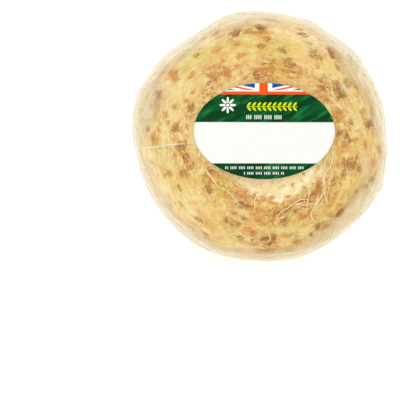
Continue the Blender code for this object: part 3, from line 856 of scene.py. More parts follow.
@dataclass(frozen=True)
class Layer:
    """A colour to lay on in a pattern, or evenly if it has none.

    The share is lessened by each of the named values, and always is added to what is left of it.
    """

    colour: Colour
    look: Spots | Lines | None
    share: float
    values: tuple[str, ...] = ()
    where: Where = Where.OWN
    always: float = 0.0


# The Principled shader's inputs, by the names that Paint.surface takes
PRINCIPLED = {
    "roughness": "Roughness",
    "normal": "Normal",
    "specular": "Specular IOR Level",
    "glow": "Emission Color",
    "glow_strength": "Emission Strength",
}


class Paint(Sheet):
    """A new material's sheet, with the colour that is laid on so far."""

    def __init__(self, name: str, effects: Effects, base: Colour, own: str | None = None) -> None:
        """Starts the material, all in one colour.

        Args:
            name: The material's name.
            effects: The shared node groups.
            base: The colour to start with.
            own: The mesh's place to take for the surface's own coordinates, if not the object's.
        """
        self.material = bpy.data.materials.new(name)
        self.material.use_nodes = True
        super().__init__(self.material.node_tree)
        self.effects = effects
        self.tint: Tint = base
        self.places = {Where.OWN: self.place(own) if own else self.object_mm()}
        self.shares: dict[str, Value] = {}

    def pattern(self, look: Spots | Lines, where: Where = Where.OWN) -> Socket:
        """The spots or lines, as a share from 0 to 1."""
        common = {"Place": self.places[where], "Size": look.size}
        if isinstance(look, Spots):
            return self.group(self.effects.mottling, **common, Low=look.low, High=look.high)
        return self.group(self.effects.wrinkles, **common, Width=look.width)

    def share(self, name: str) -> Value:
        """The share worked out under this name, or else the value that the mesh holds."""
        return self.shares[name] if name in self.shares else self.value(name)

    def lay(self, layers: Sequence[Layer]) -> None:
        """Lays the layers on, one over another."""
        for layer in layers:
            share = self.times(*map(self.share, layer.values), layer.share)
            if layer.always:
                share = self.plus(layer.always, share)
            if layer.look:
                share = self.times(self.pattern(layer.look, layer.where), share)
            self.tint = self.mix(share, self.tint, layer.colour)

    def grain(self, size: float) -> Socket:
        """The height of a fine grain, this many millimetres wide."""
        return self.group(self.effects.grain, Place=self.places[Where.OWN], Size=size)

    def bump(self, height: Socket, strength: float, rise: float) -> Socket:
        """The normal of a surface with that height on it, where 1 rises by so many metres."""
        inputs = {"Strength": strength, "Distance": rise, "Height": height}
        return self.add("ShaderNodeBump", inputs).outputs[0]

    def surface(self, **inputs: object) -> Socket:
        """A Principled shader in the colour laid on, with more inputs by the names in PRINCIPLED."""
        named = {PRINCIPLED[name]: value for name, value in inputs.items()}
        return self.add("ShaderNodeBsdfPrincipled", {"Base Color": self.tint, **named}).outputs[0]

    def ended(self, surface: Socket) -> bpy.types.Material:
        """The material, with this as its surface."""
        self.add("ShaderNodeOutputMaterial", {"Surface": surface})
        return self.material

    def half_clear(self, share: Value, surface: Socket) -> bpy.types.Material:
        """The material, with that share of the surface and the rest clear."""
        clear = self.add("ShaderNodeBsdfTransparent").outputs[0]
        return self.ended(self.add("ShaderNodeMixShader", {0: share, 1: clear, 2: surface}).outputs[0])


@dataclass(frozen=True)
class SkinFinish:
    """The root's skin: cream and gold, with brown wrinkles, freckles, scars, blushes and green places, and
    painted light and shade.
    """

    cream: Colour = srgb(240, 221, 156)
    gold: Colour = srgb(230, 199, 114)
    straw: Colour = srgb(220, 211, 120)
    peach: Colour = srgb(241, 195, 132)
    honey: Colour = srgb(226, 172, 90)
    tan: Colour = srgb(208, 144, 60)
    brown: Colour = srgb(188, 116, 42)
    dark: Colour = srgb(142, 86, 32)
    green: Colour = srgb(212, 209, 104)
    pale: Colour = srgb(250, 230, 176)
    bare: Colour = srgb(253, 242, 206)
    crown: Colour = srgb(172, 152, 74)
    base_layers: tuple[Layer, ...] = (
        Layer(gold, Spots(15.0, 0.38, 0.62), 1.0),
        Layer(straw, Spots(9.0, 0.48, 0.66), 0.65),
        Layer(peach, Spots(7.0, 0.5, 0.68), 0.7),
        Layer(honey, Spots(6.0, 0.5, 0.66), 0.35, ("low",), Where.RING, always=0.3),
        # Painted light: lighter cream towards the sides, and paler in a band just inside the outline,
        # evening out the shade there
        Layer(cream, Spots(5.0, 0.25, 0.5), 0.85, ("shoulder",), Where.RING),
        Layer(pale, Spots(5.0, 0.25, 0.5), 0.85, ("shoulder", "painted_light_band"), Where.RING),
        Layer(green, Spots(6.0, 0.3, 0.6), 0.85, ("green",)),
        Layer(cream, Spots(5.0, 0.2, 0.5), 0.9, ("light",)),
        Layer(honey, Spots(5.0, 0.25, 0.55), 0.55, ("golden",)),
        Layer(cream, Spots(2.8, 0.52, 0.62), 0.32, where=Where.DRAWN),
        Layer(tan, Lines(3.6, 0.07), 0.22, where=Where.DRAWN),
    )
    wrinkle_layers: tuple[Layer, ...] = (
        Layer(honey, None, 0.15, ("rough_zones",)),
        Layer(tan, Spots(4.6, 0.54, 0.62), 0.35, ("crowded",), always=0.18),
        Layer(tan, Spots(2.2, 0.54, 0.61), 0.6, ("crowded",), Where.RING, always=0.15),
        Layer(brown, Lines(2.5, 0.11), 0.7, ("crowded",), Where.DRAWN, always=0.05),
        Layer(brown, Spots(1.6, 0.56, 0.62), 0.9, ("crowded",), Where.RING),
        Layer(dark, Spots(1.2, 0.6, 0.66), 0.7, ("crowded",), Where.DRAWN),
        # Painted shade between the rootlets
        Layer(brown, Spots(2.0, 0.4, 0.56), 0.75, ("rootlet_shade",)),
        Layer(tan, Spots(6.0, 0.5, 0.66), 0.3, ("furrow",), Where.RING),
    )
    trim_layers: tuple[Layer, ...] = (
        Layer(pale, None, 0.85, ("patch",)),
        Layer(honey, Spots(3.0, 0.5, 0.66), 0.6, ("patch",)),
        Layer(bare, None, 0.8, ("bare_spots",)),
        Layer(crown, None, 0.64, ("crown_cover",)),
    )
    mark_layers: tuple[Layer, ...] = (
        Layer(tan, None, 0.58, ("blush_spots",)),
        Layer(brown, Lines(1.9, 0.13), 0.6, ("blush_spots",), Where.DRAWN),
        Layer(brown, None, 0.45, ("blush_lines",)),
        Layer(brown, None, 0.28, ("scar_spots",)),
        Layer(dark, None, 0.65, ("scar_lines",)),
        Layer(dark, Lines(1.9, 0.13), 0.5, ("scar_spots",), Where.DRAWN),
        Layer(dark, Spots(0.9, 0.54, 0.62), 0.65, ("scar_spots",), Where.DRAWN),
        Layer(brown, Spots(0.9, 0.54, 0.62), 0.45, ("blush_spots",), Where.DRAWN),
        Layer(dark, None, 0.3, ("scar_cores",)),
    )
    stretch: tuple[float, float, float] = (1.0, 0.42, 0.42)
    rough_spots: Spots = Spots(4.0, 0.34, 0.52)
    rough_clouds: Spots = Spots(10.0, 0.46, 0.64)
    rough_cloud_share: float = 0.35
    trim_tears: Spots = Spots(1.7, 0.34, 0.62)
    tear_share: float = 0.5
    crown_least: float = 0.5
    bare_edge: Pair = (0.55, 1.15)
    mark_tears: Spots = Spots(1.2, 0.3, 0.7)
    windings: Spots = Spots(1.4, 0.3, 0.7)
    blush_edge: Pair = (0.38, 1.15)
    blush_line: Pair = (1.08, 0.16)
    scar_edge: Pair = (0.42, 0.8)
    scar_line: Pair = (1.05, 0.17)
    scar_core: Pair = (1.15, 1.45)
    grain_size: float = 0.7
    relief_lines: Lines = Lines(2.2, 0.09)
    relief: Pair = (0.45, 0.12 * MM)
    roughness: float = 0.47
    roughness_change: float = 0.2
    specular: float = 0.2

    def made(self, effects: Effects) -> bpy.types.Material:
        """Builds the material."""
        paint = Paint("root_skin", effects, self.cream)
        ring = paint.place("ring_place")
        drawn = paint.add("ShaderNodeMapping", {"Vector": ring, "Scale": self.stretch}).outputs[0]
        paint.places |= {Where.RING: ring, Where.DRAWN: drawn}
        paint.lay(self.base_layers)
        self.find_shares(paint)
        paint.lay(self.wrinkle_layers + self.trim_layers + self.mark_layers)
        fine = paint.grain(self.grain_size)
        height = paint.math("SUBTRACT", fine, paint.pattern(self.relief_lines, Where.RING))
        gloss = paint.math("MULTIPLY_ADD", fine, self.roughness_change, self.roughness)
        normal = paint.bump(height, *self.relief)
        return paint.ended(paint.surface(roughness=gloss, normal=normal, specular=self.specular))

    def find_shares(self, paint: Paint) -> None:
        """Works out where wrinkles crowd, how far each trimmed end reaches, and the marks' ragged spots."""
        zones = paint.times(paint.value("rough"), paint.pattern(self.rough_spots))
        clouds = paint.times(paint.pattern(self.rough_clouds), self.rough_cloud_share)
        crowded = paint.plus(clouds, zones)
        torn = paint.pattern(self.trim_tears)
        left = paint.math("SUBTRACT", 1.0, paint.times(crowded, torn, self.tear_share))
        ragged = paint.pattern(self.mark_tears)
        winding = paint.pattern(self.windings, Where.DRAWN)
        paint.shares = {
            "rough_zones": zones,
            "crowded": crowded,
            "patch": paint.times(paint.value("pale"), left),
            "bare_spots": paint.frayed("bare", torn, *self.bare_edge),
            "crown_cover": paint.times(paint.value("crown"), paint.plus(self.crown_least, torn)),
            "blush_spots": paint.frayed("blush", ragged, *self.blush_edge),
            "blush_lines": paint.contour("blush", winding, *self.blush_line),
            "scar_spots": paint.frayed("scar", ragged, *self.scar_edge),
            "scar_lines": paint.contour("scar", winding, *self.scar_line),
            "scar_cores": paint.frayed("scar", ragged, *self.scar_core),
        }


@dataclass(frozen=True)
class StalkFinish:
    """Rootlets and cut leaf stalks: pale flesh with darker rind."""

    name: str
    flesh: Colour
    rind: Colour
    spots: Spots
    spot_share: float = 0.6
    grain_size: float = 0.5
    relief: Pair = (0.4, 0.1 * MM)
    roughness: float = 0.55
    roughness_change: float = 0.15

    def made(self, effects: Effects) -> bpy.types.Material:
        """Builds the material."""
        paint = Paint(self.name, effects, self.flesh)
        spots = paint.pattern(self.spots)
        paint.shares["rind_cover"] = paint.plus(paint.times(spots, self.spot_share), paint.value("rind"))
        paint.lay((Layer(self.rind, None, 1.0, ("rind_cover",)),))
        gloss = paint.math("MULTIPLY_ADD", spots, self.roughness_change, self.roughness)
        normal = paint.bump(paint.grain(self.grain_size), *self.relief)
        return paint.ended(paint.surface(roughness=gloss, normal=normal))


@dataclass(frozen=True)
class FilmFinish:
    """Clear shrink film: see-through face on, creamy where it turns away and along its creases: milky film
    with painted reflection.
    """

    haze_and_reflection: Colour = srgb(233, 219, 182)
    roughness: float = 0.24
    specular: float = 0.3
    ripples: Spots = Spots(5.0, 0.3, 0.7)
    crease_rise: float = 1.5
    relief: Pair = (0.35, 0.5 * MM)
    even_blend: float = 0.5
    edge_zone: Pair = (0.48, 1.0)
    # Milky shares of haze and painted reflection: where the film turns away, and on its rim
    edge_haze_and_reflection: float = 0.92
    rim_haze_and_reflection: float = 0.34
    # Painted glare in the hazy places
    patch_haze_and_glare: float = 0.26
    # Milky creases with painted glints
    crease_haze_and_glint: float = 0.5
    face_haze: float = 0.02
    most_haze_and_reflection: float = 0.92
    streaks: Spots = Spots(2.6, 0.3, 0.7)
    streak_change: Pair = (0.7, 0.45)
    patches: Spots = Spots(4.5, 0.3, 0.7)
    patch_change: Pair = (0.6, 0.6)

    def made(self, effects: Effects) -> bpy.types.Material:
        """Builds the material."""
        paint = Paint("clear_film", effects, self.haze_and_reflection)
        paint.places[Where.DRAWN] = paint.place("film_place")
        crease = paint.value("crease")
        height = paint.math("MULTIPLY_ADD", crease, self.crease_rise, paint.pattern(self.ripples))
        facing = paint.add("ShaderNodeLayerWeight", {"Blend": self.even_blend}).outputs["Facing"]
        # Milky where the film turns away: haze, and a painted reflection of the white surroundings
        haze_and_reflection = paint.times(paint.between(facing, *self.edge_zone), self.edge_haze_and_reflection)
        # The rim on the mesh: haze and painted reflection just inside the outline the viewer sees
        haze_and_reflection = paint.math("MULTIPLY_ADD", paint.value("rim"), self.rim_haze_and_reflection, haze_and_reflection)
        # Patches of haze with painted glare
        haze_and_reflection = paint.math("MULTIPLY_ADD", paint.value("haze_and_reflection"), self.patch_haze_and_glare, haze_and_reflection)
        streak = paint.math("MULTIPLY_ADD", paint.pattern(self.streaks, Where.DRAWN), *self.streak_change)
        patchy = paint.math("MULTIPLY_ADD", paint.pattern(self.patches), *self.patch_change)
        haze_and_reflection = paint.math("MULTIPLY", haze_and_reflection, paint.math("MULTIPLY", streak, patchy))
        # Milky creases with painted glints on them
        creases = paint.math("MULTIPLY", crease, self.crease_haze_and_glint)
        share = paint.math("MINIMUM", paint.plus(haze_and_reflection, creases, self.face_haze), self.most_haze_and_reflection)
        normal = paint.bump(height, *self.relief)
        film = paint.surface(roughness=self.roughness, specular=self.specular, normal=normal)
        return paint.half_clear(share, film)


@dataclass(frozen=True)
class SeamFinish:
    """The welded seam of the film: milky and half clear."""

    milk: Colour = srgb(252, 246, 232)
    clouds: Spots = Spots(2.0, 0.3, 0.7)
    milkiness: Pair = (0.4, 0.35)
    roughness: float = 0.3

    def made(self, effects: Effects) -> bpy.types.Material:
        """Builds the material."""
        paint = Paint("film_seam", effects, self.milk)
        share = paint.math("MULTIPLY_ADD", paint.pattern(self.clouds), *self.milkiness)
        return paint.half_clear(share, paint.surface(roughness=self.roughness))


@dataclass(frozen=True)
class TallyRow:
    """A row of strokes: how far up it is and reaches to each side, half a stroke's height, and the step."""

    up: float
    reach: float
    half: float
    step: float


@dataclass(frozen=True)
class LabelFinish:
    """A printed label: a flag strip, green bands with leaves, and a bare white field between them.

    Places and lengths on the label are millimetres right and up of its middle.
    """

    white: Colour = srgb(237, 238, 232)
    deep_green: Colour = srgb(4, 58, 26)
    mid_green: Colour = srgb(8, 82, 38)
    bright_green: Colour = srgb(20, 124, 56)
    leaf: Colour = srgb(206, 222, 24)
    red: Colour = srgb(250, 84, 26)
    blue: Colour = srgb(12, 78, 158)
    layers: tuple[Layer, ...] = (
        Layer(mid_green, Spots(5.5, 0.44, 0.56), 1.0, where=Where.DRAWN),
        Layer(bright_green, Spots(2.6, 0.53, 0.66), 0.75, where=Where.DRAWN),
        Layer(white, None, 1.0, ("field",)),
        Layer(leaf, None, 1.0, ("leaves",)),
        Layer(white, None, 1.0, ("rosette",)),
        Layer(white, None, 1.0, ("tallies",)),
        Layer(blue, None, 1.0, ("flag",)),
        Layer(white, None, 1.0, ("flag", "diagonals")),
        Layer(red, None, 1.0, ("flag", "diagonal_middles")),
        Layer(white, None, 1.0, ("flag", "bar")),
        Layer(white, None, 1.0, ("flag", "post")),
        Layer(red, None, 1.0, ("flag", "post_middle")),
        Layer(red, None, 1.0, ("flag", "bar_middle")),
    )
    blade_slant: float = math.radians(30)
    blade_stretch: float = 5.0
    field: Pair = (-15.2, 4.2)
    flag_from: float = 17.3
    red_bar_to: float = 18.7
    white_bar_to: float = 19.3
    flag_middle: float = -0.4
    red_post: float = 2.03
    white_post: float = 4.09
    diagonal_slope: float = 0.2
    diagonal_white: Pair = (16.7, 19.5)
    diagonal_red: Pair = (17.75, 18.55)
    leaves_up: float = 11.6
    leaves_right: float = 3.6
    leaves_reach: float = 12.0
    leaf_step: float = 2.4
    leaf_lean: float = math.radians(46)
    leaf_half: Pair = (1.35, 0.55)
    leaf_gap: float = 0.15
    stem_half: float = 0.14
    rosette_at: Pair = (-17.3, 12.2)
    rosette_radius: float = 3.9
    rosette_petals: int = 8
    rosette_eye: float = 1.1
    rosette_dot: float = 0.7
    tally_rows: tuple[TallyRow, ...] = (
        TallyRow(6.6, 8.6, 0.95, 0.95),
        TallyRow(-17.3, 18.6, 0.62, 0.8),
        TallyRow(-19.9, 9.6, 0.62, 0.8),
    )
    stroke_share: float = 0.5
    strokes: int = 4
    grain_size: float = 0.5
    relief: Pair = (0.12, 0.05 * MM)
    roughness: float = 0.3
    roughness_change: float = 0.08
    specular: float = 0.06

    def made(self, effects: Effects) -> bpy.types.Material:
        """Builds the material."""
        paint = Paint("printed_label", effects, self.deep_green, "label_place")
        spot = paint.places[Where.OWN]
        turned = {"Rotation": (0.0, 0.0, self.blade_slant), "Scale": (self.blade_stretch, 1.0, 1.0)}
        blades = paint.add("ShaderNodeMapping", {"Vector": spot, **turned}, vector_type="TEXTURE")
        paint.places[Where.DRAWN] = blades.outputs[0]
        right, up, _ = paint.add("ShaderNodeSeparateXYZ", {0: spot}).outputs
        paint.shares = {
            "field": self.band(paint, up, *self.field),
            "leaves": self.leaves(paint, right, up),
            "rosette": self.rosette(paint, right, up),
            "tallies": self.tallies(paint, right, up),
            **self.flag(paint, right, up),
        }
        paint.lay(self.layers)
        fibre = paint.grain(self.grain_size)
        gloss = paint.math("MULTIPLY_ADD", fibre, self.roughness_change, self.roughness)
        normal = paint.bump(fibre, *self.relief)
        return paint.ended(paint.surface(roughness=gloss, normal=normal, specular=self.specular))

    def band(self, sheet: Sheet, value: Socket, low: float, high: float) -> Value:
        """1 where value lies between low and high, and 0 elsewhere."""
        return sheet.times(sheet.over(value, low), sheet.under(value, high))

    def leaves(self, sheet: Sheet, right: Socket, up: Socket) -> Value:
        """A sprig: pointed leaves in pairs along a thin stem."""
        half_length, half_width = self.leaf_half
        cos, sin = math.cos(self.leaf_lean), math.sin(self.leaf_lean)
        off = sheet.off(up, self.leaves_up)
        right = sheet.math("SUBTRACT", right, self.leaves_right)
        inside = sheet.under(sheet.math("ABSOLUTE", right), self.leaves_reach)
        local = sheet.math("SUBTRACT", sheet.math("WRAP", right, self.leaf_step, 0.0), self.leaf_step / 2)
        out = sheet.math("SUBTRACT", off, half_length * sin + self.leaf_gap)
        along = sheet.math("ADD", sheet.math("MULTIPLY", local, cos), sheet.math("MULTIPLY", out, sin))
        over = sheet.math("SUBTRACT", sheet.math("MULTIPLY", out, cos), sheet.math("MULTIPLY", local, sin))
        share = sheet.math("POWER", sheet.math("DIVIDE", along, half_length), 2.0)
        edge = sheet.math("MULTIPLY", sheet.math("SUBTRACT", 1.0, share), half_width)
        leaf = sheet.under(sheet.math("ABSOLUTE", over), edge)
        return sheet.times(sheet.math("MAXIMUM", leaf, sheet.under(off, self.stem_half)), inside)

    def rosette(self, sheet: Sheet, right: Socket, up: Socket) -> Value:
        """A round flower of plain petals about a dot."""
        across = sheet.math("SUBTRACT", right, self.rosette_at[0])
        above = sheet.math("SUBTRACT", up, self.rosette_at[1])
        squares = sheet.math("MULTIPLY_ADD", across, across, sheet.math("MULTIPLY", above, above))
        out = sheet.math("SQRT", squares)
        turn = sheet.math("MULTIPLY", sheet.math("ARCTAN2", above, across), self.rosette_petals / 2)
        swing = sheet.math("ABSOLUTE", sheet.math("COSINE", turn))
        petal = sheet.under(out, sheet.math("MULTIPLY", swing, self.rosette_radius))
        flower = sheet.times(petal, sheet.over(out, self.rosette_eye))
        return sheet.math("MAXIMUM", flower, sheet.under(out, self.rosette_dot))

    def tallies(self, sheet: Sheet, right: Socket, up: Socket) -> Value:
        """Rows of small upright strokes in fours: one under the leaves and two on the lower band."""
        total: Value = 0.0
        for row in self.tally_rows:
            stroke = sheet.under(sheet.math("WRAP", right, row.step, 0.0), self.stroke_share * row.step)
            four = self.strokes * row.step
            grouped = sheet.under(sheet.math("WRAP", right, four + row.step, 0.0), four)
            tall = sheet.under(sheet.off(up, row.up), row.half)
            inside = sheet.under(sheet.math("ABSOLUTE", right), row.reach)
            total = sheet.math("MAXIMUM", total, sheet.times(stroke, grouped, tall, inside))
        return total

    def flag(self, sheet: Sheet, right: Socket, up: Socket) -> dict[str, Value]:
        """The shares of the upper half of a flag of crosses, along the top of the label."""
        out = sheet.off(right, self.flag_middle)
        level = sheet.math("SUBTRACT", up, sheet.math("MULTIPLY", out, self.diagonal_slope))
        return {
            "flag": sheet.over(up, self.flag_from),
            "diagonals": self.band(sheet, level, *self.diagonal_white),
            "diagonal_middles": self.band(sheet, level, *self.diagonal_red),
            "bar": sheet.under(up, self.white_bar_to),
            "bar_middle": sheet.under(up, self.red_bar_to),
            "post": sheet.under(out, self.white_post),
            "post_middle": sheet.under(out, self.red_post),
        }


@dataclass(frozen=True)
class FloorFinish:
    """A plain white floor, lit from inside as a light table is."""

    pale: Colour = srgb(152, 152, 152)
    shade: Colour = srgb(146, 146, 146)
    clouds: Spots = Spots(400.0, 0.3, 0.7)
    roughness: float = 0.9
    light: Colour = (1.0, 1.0, 1.0)
    glow: float = 0.85
    glow_on_things: float = 0.8

    def made(self, effects: Effects) -> bpy.types.Material:
        """Builds the material."""
        paint = Paint("pale_floor", effects, self.pale)
        paint.lay((Layer(self.shade, self.clouds, 1.0),))
        seen = paint.add("ShaderNodeLightPath").outputs["Is Camera Ray"]
        glow = paint.math("MULTIPLY_ADD", seen, self.glow - self.glow_on_things, self.glow_on_things)
        surface = paint.surface(roughness=self.roughness, specular=0.0, glow=self.light, glow_strength=glow)
        return paint.ended(surface)


@dataclass
class Assembly:
    """What every sub-assembly knows: the root's form, how the growth frame lies and the shared effects."""

    form: Form
    lie: Matrix
    effects: Effects


@dataclass
class Root(Assembly):
    """The celeriac itself: its skin with scars and rings, its rootlets and its crown."""

    cells: int = 120
    small_lumps: Lumps = (6.0, 0.7 * MM, 2.0)
    fine_lumps: Lumps = (17.0, 0.35 * MM, 31.0)
    relief_limit: float = 0.9 * MM
    relief_left_on_cuts: float = 0.4
    cut_zone: Pair = (0.86, 0.93)
    ring_spacing: float = 11.0 * MM
    ring_height: float = 0.35 * MM
    ring_waver: Lumps = (2.6, 0.055, 9.0)
    ring_fade: float = 0.1
    first_ring: float = math.radians(30)
    last_ring: float = math.radians(138)
    ring_stretch: float = 38.0
    furrow_width: float = 0.3
    ragged_edge: float = 0.5 * MM
    ragged_scale: float = 22.0
    ragged_shifts: tuple[float, float, float] = (51.3, 72.7, 93.1)
    mark_sharpness: float = 0.9
    eye_from: float = 2.7 * MM
    eye_share: float = 0.6
    eye_sharpness: float = 7.0
    scar_depth_share: float = 0.24
    scar_pit_sharpness: float = 1.2
    scar_rim_share: float = 0.1
    scar_rim_sharpness: float = 6.0
    scar_rim_at: float = 1.35
    row_step: float = 8.5 * MM
    row_twist: float = 3.0
    last_row: float = math.radians(158)
    marks_per_row: int = 20
    least_marks: int = 5
    mark_shift_along: float = 0.4
    mark_shift_across: float = 0.35
    mark_lengths: Pair = (2.2 * MM, 5.6 * MM)
    mark_widths: Pair = (0.35, 0.75)
    mark_seed: int = 11
    least_facing: float = 0.4
    listed_toward: float = 0.12
    unlisted_corners: tuple[Pair, ...] = ((-0.25, -0.62), (-0.6, -0.35))
    unseen_zone: Pair = (-0.1, 0.2)
    green_clouds: Lumps = (2.8, 1.0, 12.0)
    green_cloud_zone: Pair = (0.05, 0.45)
    rough_clouds: Lumps = (4.5, 1.0, 27.0)
    rough_cloud_zone: Pair = (0.0, 0.4)
    low_zone: Pair = (0.1, -0.8)
    pale_zone: Pair = (math.radians(23.5), math.radians(29))
    pale_lumps: Lumps = (7.0, 0.09, 61.0)
    # Where the painted light lies: towards the sides, and in a band just inside the outline the viewer sees
    shoulder_zone: Pair = (math.radians(54), math.radians(67))
    painted_light_band_inner: Pair = (0.54, 0.44)
    painted_light_band_outer: Pair = (0.1, 0.25)
    crown_zone: Pair = (math.radians(132), math.radians(152))
    bosses: int = 34
    boss_zone: Pair = (math.radians(24), math.radians(62))
    boss_radius: float = 3.4 * MM
    boss_height: float = 0.8 * MM
    boss_seed: int = 23
    rootlet_radius: float = 0.32 * MM
    hair_radius: float = 0.21 * MM
    rootlet_ride: float = 0.2 * MM
    rootlet_sink: float = 1.5 * MM
    rootlet_step_mm: float = 1.0
    rootlet_sides: int = 7
    rootlet_taper: float = 0.4
    rootlet_sway: Pair = (0.1 * MM, 0.25 * MM)
    rootlet_bends: Pair = (9.0, 14.0)
    hidden_rootlets: int = 5
    hidden_points: int = 18
    hidden_reach: Pair = (math.radians(19), math.radians(35))
    hidden_curl: float = 0.7
    rootlet_seed: int = 5
    stalk_stubs: int = 14
    first_stub_radius: float = 7.5 * MM
    stub_radius_step: float = 1.3 * MM
    stub_arc_length: float = 15.0 * MM
    stub_thickness: float = 2.0 * MM
    stub_rise: float = 0.9 * MM
    stub_cut: float = 2.2 * MM
    stub_points: int = 22
    stub_sides: int = 14
    widest_stub: float = 1.2
    stub_taper_from: float = 0.35
    rind_share: float = 0.75
    golden_angle: float = math.radians(137.5)
    young_stalks: int = 3
    young_points: int = 12
    young_sides: int = 20
    young_taper: float = 0.85
    young_spare: float = 1.0 * MM
    young_radius: float = 2.2 * MM
    young_offset: float = 2.9 * MM
    young_height: float = 3.2 * MM
    young_sink: float = 3.0 * MM

    @cached_property
    def marks(self) -> list[Mark]:
        """Every scar and blush: those that the viewer sees as listed, and others in rows elsewhere."""
        found = []
        toward = self.form.lie.view[:, 2]
        for kind, rows in ((MarkKind.SCAR, SCARS), (MarkKind.BLUSH, BLUSHES)):
            places = np.array([row[:2] for row in rows]) * MM
            points = self.form.seen_at(places, self.form.body)
            for way, row in zip(unit(points), rows):
                foreshortening = max(float(way @ toward), self.least_facing)
                found.append(Mark(kind, tuple(way), row[2] * MM, row[3] * MM / foreshortening))
        return found + self.unseen_marks()

    def unseen_marks(self) -> list[Mark]:
        """Scars and blushes in rows round the growth axis, where the viewer sees none of the listed ones."""
        draw = random.Random(self.mark_seed)
        step = self.row_step / self.form.radius
        found = []
        polar = self.first_ring
        while polar < self.last_row:
            count = max(self.least_marks, round(self.marks_per_row * math.sin(polar)))
            for i in range(count):
                along = draw.uniform(-self.mark_shift_along, self.mark_shift_along)
                turn = TURN * (i + along) / count + polar * self.row_twist
                tilt = polar + draw.uniform(-self.mark_shift_across, self.mark_shift_across) * step
                kind = draw.choice((MarkKind.SCAR, MarkKind.BLUSH))
                length = draw.uniform(*self.mark_lengths)
                width = length * draw.uniform(*self.mark_widths)
                way = ways_at(tilt, turn)[0]
                if not self.is_listed(way):
                    found.append(Mark(kind, tuple(way), length, width))
            polar += step
        return found

    def is_listed(self, way: np.ndarray) -> bool:
        """Whether the listed marks cover this direction: it faces the viewer, but not at the lower left."""
        right, up, toward = way @ self.form.lie.view
        in_corner = any(right < left_of and up < below for left_of, below in self.unlisted_corners)
        return toward > self.listed_toward and not in_corner

    def ring_angle(self, ways: np.ndarray) -> np.ndarray:
        """The angle from the root end, pushed to and fro so that the rings waver."""
        return self.form.polar(ways) + lumps(ways, *self.ring_waver)

    def ring_share(self, angle: np.ndarray) -> np.ndarray:
        """1 where there are rings, fading out towards both ends."""
        begins = smooth_step(self.first_ring - self.ring_fade, self.first_ring + self.ring_fade, angle)
        ends = 1.0 - smooth_step(self.last_ring - self.ring_fade, self.last_ring + self.ring_fade, angle)
        return begins * ends

    def ring_wave(self, angle: np.ndarray) -> np.ndarray:
        """0 in the furrow between two rings and 1 on a ring."""
        return np.abs(np.sin(math.pi * angle * self.form.radius / self.ring_spacing))

    def boss_relief(self, ways: np.ndarray) -> np.ndarray:
        """Low round bosses where side roots were cut off, close round the root end."""
        draw = random.Random(self.boss_seed)
        relief = np.zeros(len(ways))
        for _ in range(self.bosses):
            polar = draw.uniform(*self.boss_zone)
            turn = draw.uniform(0.0, TURN)
            away = np.linalg.norm(ways - ways_at(polar, turn), axis=1) * self.form.radius / self.boss_radius
            relief += self.boss_height * np.exp(-(away**2))
        return relief

    def scar_relief(self, ways: np.ndarray) -> np.ndarray:
        """Lens-shaped pits with a raised rim, each drawn out along its ring."""
        relief = np.zeros(len(ways))
        for mark in self.marks:
            if mark.kind is MarkKind.SCAR:
                near, spread = mark.spread(ways, self.form.radius)
                off_rim = spread - self.scar_rim_at
                rim = self.scar_rim_share * np.exp(-self.scar_rim_sharpness * off_rim**2)
                pit = self.scar_depth_share * np.exp(-self.scar_pit_sharpness * spread**2)
                relief[near] += mark.width * (rim - pit)
        return relief

    def reach(self, ways: np.ndarray) -> np.ndarray:
        """How far the skin is from the middle in each direction."""
        angle = self.ring_angle(ways)
        rings = self.ring_height * (2.0 * self.ring_wave(angle) - 1.0) * self.ring_share(angle)
        relief = rings + self.scar_relief(ways) + self.boss_relief(ways) + lumps(ways, *self.small_lumps)
        relief = np.minimum(relief + lumps(ways, *self.fine_lumps), self.relief_limit)
        on_cuts = smooth_step(*self.cut_zone, np.abs(ways[:, 2]))
        return self.form.body(ways) + relief * (1.0 - (1.0 - self.relief_left_on_cuts) * on_cuts)

    def ring_places(self, ways: np.ndarray) -> np.ndarray:
        """A place in millimetres that changes fast across the rings and slowly along them."""
        across = self.ring_angle(ways) * self.form.radius / MM
        turn = np.arctan2(ways[:, 1], ways[:, 0])
        return np.column_stack((across, self.ring_stretch * np.cos(turn), self.ring_stretch * np.sin(turn)))

    def uneven(self, ways: np.ndarray) -> np.ndarray:
        """The directions pushed about a little, so that what is looked up there gets an uneven edge."""
        push = [lumps(ways, self.ragged_scale, self.ragged_edge, shift) for shift in self.ragged_shifts]
        return unit(ways + np.column_stack(push) / self.form.radius)

    def mark_value(self, ways: np.ndarray, kind: MarkKind) -> np.ndarray:
        """How much of a scar or blush each direction has, from 0 to 1. Wide scars have a weaker middle."""
        value = np.zeros(len(ways))
        for mark in self.marks:
            if mark.kind is kind:
                near, spread = mark.spread(ways, self.form.radius)
                shape = np.exp(-self.mark_sharpness * spread**2)
                if kind is MarkKind.SCAR and mark.width > self.eye_from:
                    shape = shape * (1.0 - self.eye_share * np.exp(-self.eye_sharpness * spread**2))
                value[near] = np.maximum(value[near], shape)
        return value

    def clouded(self, ways: np.ndarray, spots: Rounds, clouds: Lumps, zone: Pair) -> np.ndarray:
        """The listed places, and broad clouds on the side that the viewer doesn't see.

        Args:
            ways: Directions in the growth frame, as rows.
            spots: The listed places.
            clouds: The lumps that the clouds follow.
            zone: The lumps' height where a cloud begins, and where it is full.

        Returns:
            A value from 0 to 1 for each row.
        """
        unseen = 1.0 - smooth_step(*self.unseen_zone, ways @ self.form.lie.view[:, 2])
        cloud = smooth_step(*zone, lumps(ways, *clouds))
        return np.maximum(self.form.spots_value(ways, spots), unseen * cloud)

    def pale_value(self, ways: np.ndarray) -> np.ndarray:
        """The pale trimmed patch in the middle of the root end, with an uneven edge."""
        polar = self.form.polar(ways) + lumps(ways, *self.pale_lumps)
        return 1.0 - smooth_step(*self.pale_zone, polar)

